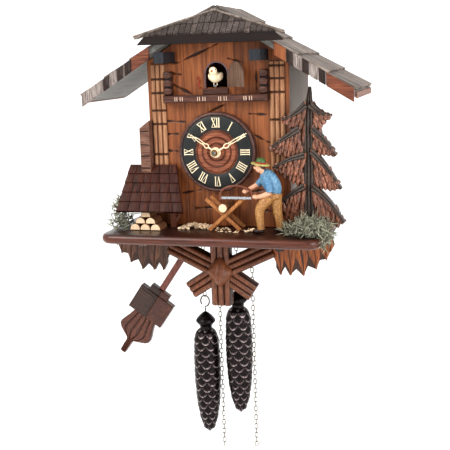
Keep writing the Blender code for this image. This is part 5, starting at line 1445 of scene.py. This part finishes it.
def oval(x, depth, z, rx, ry, rz, lean=0.0):
    """An egg placed as limbs are."""
    return egg(at(x, depth + BODY_DEPTH, z), (rx, ry, rz), 14, 18, lean)


def hat_ring(profile, x, depth, z, lean):
    """Radius and height pairs turned round an upright axis, then tipped."""
    spin = circle(28)
    r, h = np.array(profile, float).T[:, :, None]
    px, pz = turn_by(lean, r * np.cos(spin), h + 0 * spin)
    return loft(at(x + px, depth + BODY_DEPTH + r * np.sin(spin), z + pz))


def figure(name, parts, finish, replaces=()):
    """A painted piece that rocks with the sawyer."""
    piece(f"sawyer_{name}", parts, "woodcutter", finish, replaces)


figure("trousers", [
    limb([
        (0.064, -0.002, -0.0405), (0.056, -0.0055, -0.049), (0.0505, -0.0065, -0.0555), (0.0525, -0.0065, -0.0765)
    ], (0.0064, 0.006, 0.005, 0.0044, 0.004)),
    limb([
        (0.067, 0.001, -0.0405), (0.0672, 0.0025, -0.0545), (0.0705, 0.004, -0.0765)
    ], (0.0064, 0.0056, 0.0046, 0.004)),
    oval(0.0655, 0, -0.0425, 0.0072, 0.0072, 0.0062)
], TROUSERS, "sawyer")
figure("boots", [
    oval(0.05, -0.007, -0.078, 0.0062, 0.0036, 0.0027), oval(0.0695, 0.0035, -0.078, 0.0062, 0.0036, 0.0027)
], BOOTS)
figure("shirt", [
    oval(0.0622, 0, -0.0292, 0.0092, 0.0084, 0.0158, 0.5),
    limb([
        (0.0585, -0.0066, -0.0225), (0.0622, -0.0098, -0.03), (0.0638, -0.0108, -0.0372)
    ], (0.0046, 0.0042, 0.0036)),
    limb([(0.056, 0.005, -0.0225), (0.05, 0.0048, -0.029), (0.0472, 0.004, -0.0318)], (0.0042, 0.0038, 0.0034))
], SHIRT)
figure("skin", [
    limb([(0.0638, -0.0108, -0.0375), (0.056, -0.0098, -0.0412), (0.048, -0.006, -0.0432)], (0.0029, 0.0026, 0.0021)),
    oval(0.0466, -0.0054, -0.043, 0.0028, 0.0026, 0.0024),
    limb([(0.0476, 0.004, -0.0316), (0.0415, 0.002, -0.035), (0.036, -0.001, -0.0376)], (0.0028, 0.0025, 0.002)),
    oval(0.035, -0.0018, -0.038, 0.0026, 0.0024, 0.0024),
    limb([(0.0575, -0.001, -0.0215), (0.0545, -0.002, -0.018), (0.0525, -0.003, -0.015)], (0.003, 0.0029, 0.0029)),
    oval(0.0512, -0.003, -0.0128, 0.0047, 0.0046, 0.0057, 0.12),
    oval(0.0466, -0.0042, -0.0132, 0.0012, 0.0009, 0.0014, 0.2),
    oval(0.0526, -0.0076, -0.013, 0.0009, 0.0005, 0.0014)
], SKIN)
figure("eyes", [
    oval(0.0479, -0.0065, -0.0118, 0.00045, 0.00045, 0.0004), oval(0.047, -0.0014, -0.0118, 0.00045, 0.00045, 0.0004)
], BOOTS)
figure("lips", [oval(0.0474, -0.0052, -0.0158, 0.0005, 0.0009, 0.00025)], BAND)
figure("hair", [oval(0.0532, -0.0027, -0.0112, 0.0042, 0.0047, 0.0046, 0.1)], HAIR)
hat_at = (0.0525, -0.003, -0.0098, -0.16)
figure("hat_brim", [hat_ring([
    (0.004, -0.0002), (0.0094, -0.0004), (0.0099, 0.0001), (0.0096, 0.0006), (0.0052, 0.001), (0.004, 0.001)
], *hat_at)], BRIM)
figure("hat_band", [hat_ring([
    (0.0048, 0.0006), (0.0054, 0.0008), (0.0053, 0.0023), (0.0047, 0.0024)
], *hat_at)], BAND)
figure("hat_crown", [hat_ring([
    (0.005, 0.0008), (0.005, 0.003), (0.0044, 0.0052), (0.003, 0.0064), (0.0004, 0.0066)
], *hat_at)], CROWN)

# %% [markdown]
# The cuckoo is a cream bird on a wire arm: overlapping ovals for body, wings and head, and a small cone for a beak.

# %% The cuckoo
BEAK = paint("beak_paint", (226, 150, 90), (180, 100, 60))
body = [
    egg(at(0, -0.0035, 0.0776), (0.0058, 0.0098, 0.0058), 14, 20),
    egg(at(0, -0.0113, 0.0842), (0.0042, 0.0043, 0.0042), 14, 18)
]
body += [
    egg(at(s * 0.0052, -0.002, 0.0782), (0.0019, 0.0082, 0.0044), 12, 14, s * -0.15) for s in (-1, 1)
] + [tube(at(s * 0.0017, -0.004, np.linspace(0.0735, 0.0692, 4)), 0.0005, 6) for s in (-1, 1)]
body.append(egg(at(0, 0.005, 0.074), (0.003, 0.006, 0.0014), 8, 12))
piece("cream_cuckoo", body, "cuckoo", CREAM, "cuckoo_bird")
piece("cuckoo_beak", [tube(at(
    0, np.linspace(-0.015, -0.0185, 5), np.linspace(0.0842, 0.0834, 5)
), np.linspace(0.0013, 0.0002, 5), 10)], "cuckoo", BEAK)
piece("cuckoo_eyes", [
    egg(at(s * 0.0034, -0.0132, 0.0856), (0.0006, 0.0006, 0.0006), 8, 10) for s in (-1, 1)
], "cuckoo", BOOTS)

latch = np.linspace(0, 1, 30)
wave_x, wave_z = -0.0188 + 0.0014 * np.sin(latch * 4 * np.pi), 0.066 + 0.0125 * latch
piece("door_latch_wire", [tube(at(
    wave_x, -0.0022 + 0.0008 * np.cos(latch * 4 * np.pi), wave_z
), 0.00055, 8)], "case", BAND)

# %% [markdown]
# What is left are the solids that show as they are: walls, purlins, chimney, door, movement, hooks, bellows and gong.
# Each gets the finish of its stuff.

# %% Finishes of the solids
WALL_PAINT = wood(
    "grey_wall_paint", (132, 120, 112), (108, 96, 88), grain=(1, 1, 0.1), fine=400, gloss=0.55, bump=0.0001,
    marks=False
)
PURLIN_PAINT = wood("dark_blue_grey_paint", (52, 55, 60), (26, 28, 32), gloss=0.5, bump=0.0001, marks=False)
PLAIN_RED = wood("plain_red_wood", (138, 82, 58), (80, 42, 30), gloss=0.4, marks=False)
CHIMNEY_WOOD = wood("chimney_wood", (136, 101, 84), (84, 54, 44), grain=(0.1, 1, 1), gloss=0.5, marks=False)
DOOR_WOOD = wood("grey_brown_door", (126, 100, 84), (76, 56, 46), gloss=0.45, marks=False)
PALE_WOOD = wood("plain_pale_wood", (206, 176, 136), (166, 130, 94), gloss=0.6, marks=False)
BRASS, STEEL = metal(
    "rolled_brass", (196, 164, 96), (140, 108, 56), 0.3, 300
), metal("wire_steel", (150, 150, 152), (96, 96, 98), 0.3, 400)
PLAIN_IRON = metal("plain_iron", (112, 104, 100), (58, 52, 50), 0.35, 500, 0.9)
WEARS = {
    WALL_PAINT: "left_wall right_wall",
    PURLIN_PAINT: "purlin_left purlin_right",
    PLAIN_RED: "back_panel shed_post",
    CHIMNEY_WOOD: "chimney",
    DOOR_WOOD: "door_leaf",
    PALE_WOOD: "whistle_left whistle_right bellows_lid_left bellows_lid_right",
    BRASS: "movement_front_plate movement_back_plate hour_wheel escape_wheel "
    "chain_wheel_left chain_wheel_right hand_nut",
    STEEL: "hanger_plate centre_arbor anchor_and_leader bird_arm gong",
    PLAIN_IRON: "gong_hammer hook_left hook_right",
}
for finish, names in WEARS.items():
    for name in names.split():
        wear(name, finish)
print(sum(len(names.split()) for names in WEARS.values()), "solids finished as they are")
cuts = [
    bar((-0.0842, z), (-0.0742, z + lean), 0.0011, -0.0124, -0.0115, 0.0001)
    for z, lean in ((0.0225, 0.0006), (0.0085, -0.0004), (-0.004, 0.0005), (-0.0165, -0.0003))
]
piece("chimney_cuts", cuts, "case", FASCIA_WOOD)
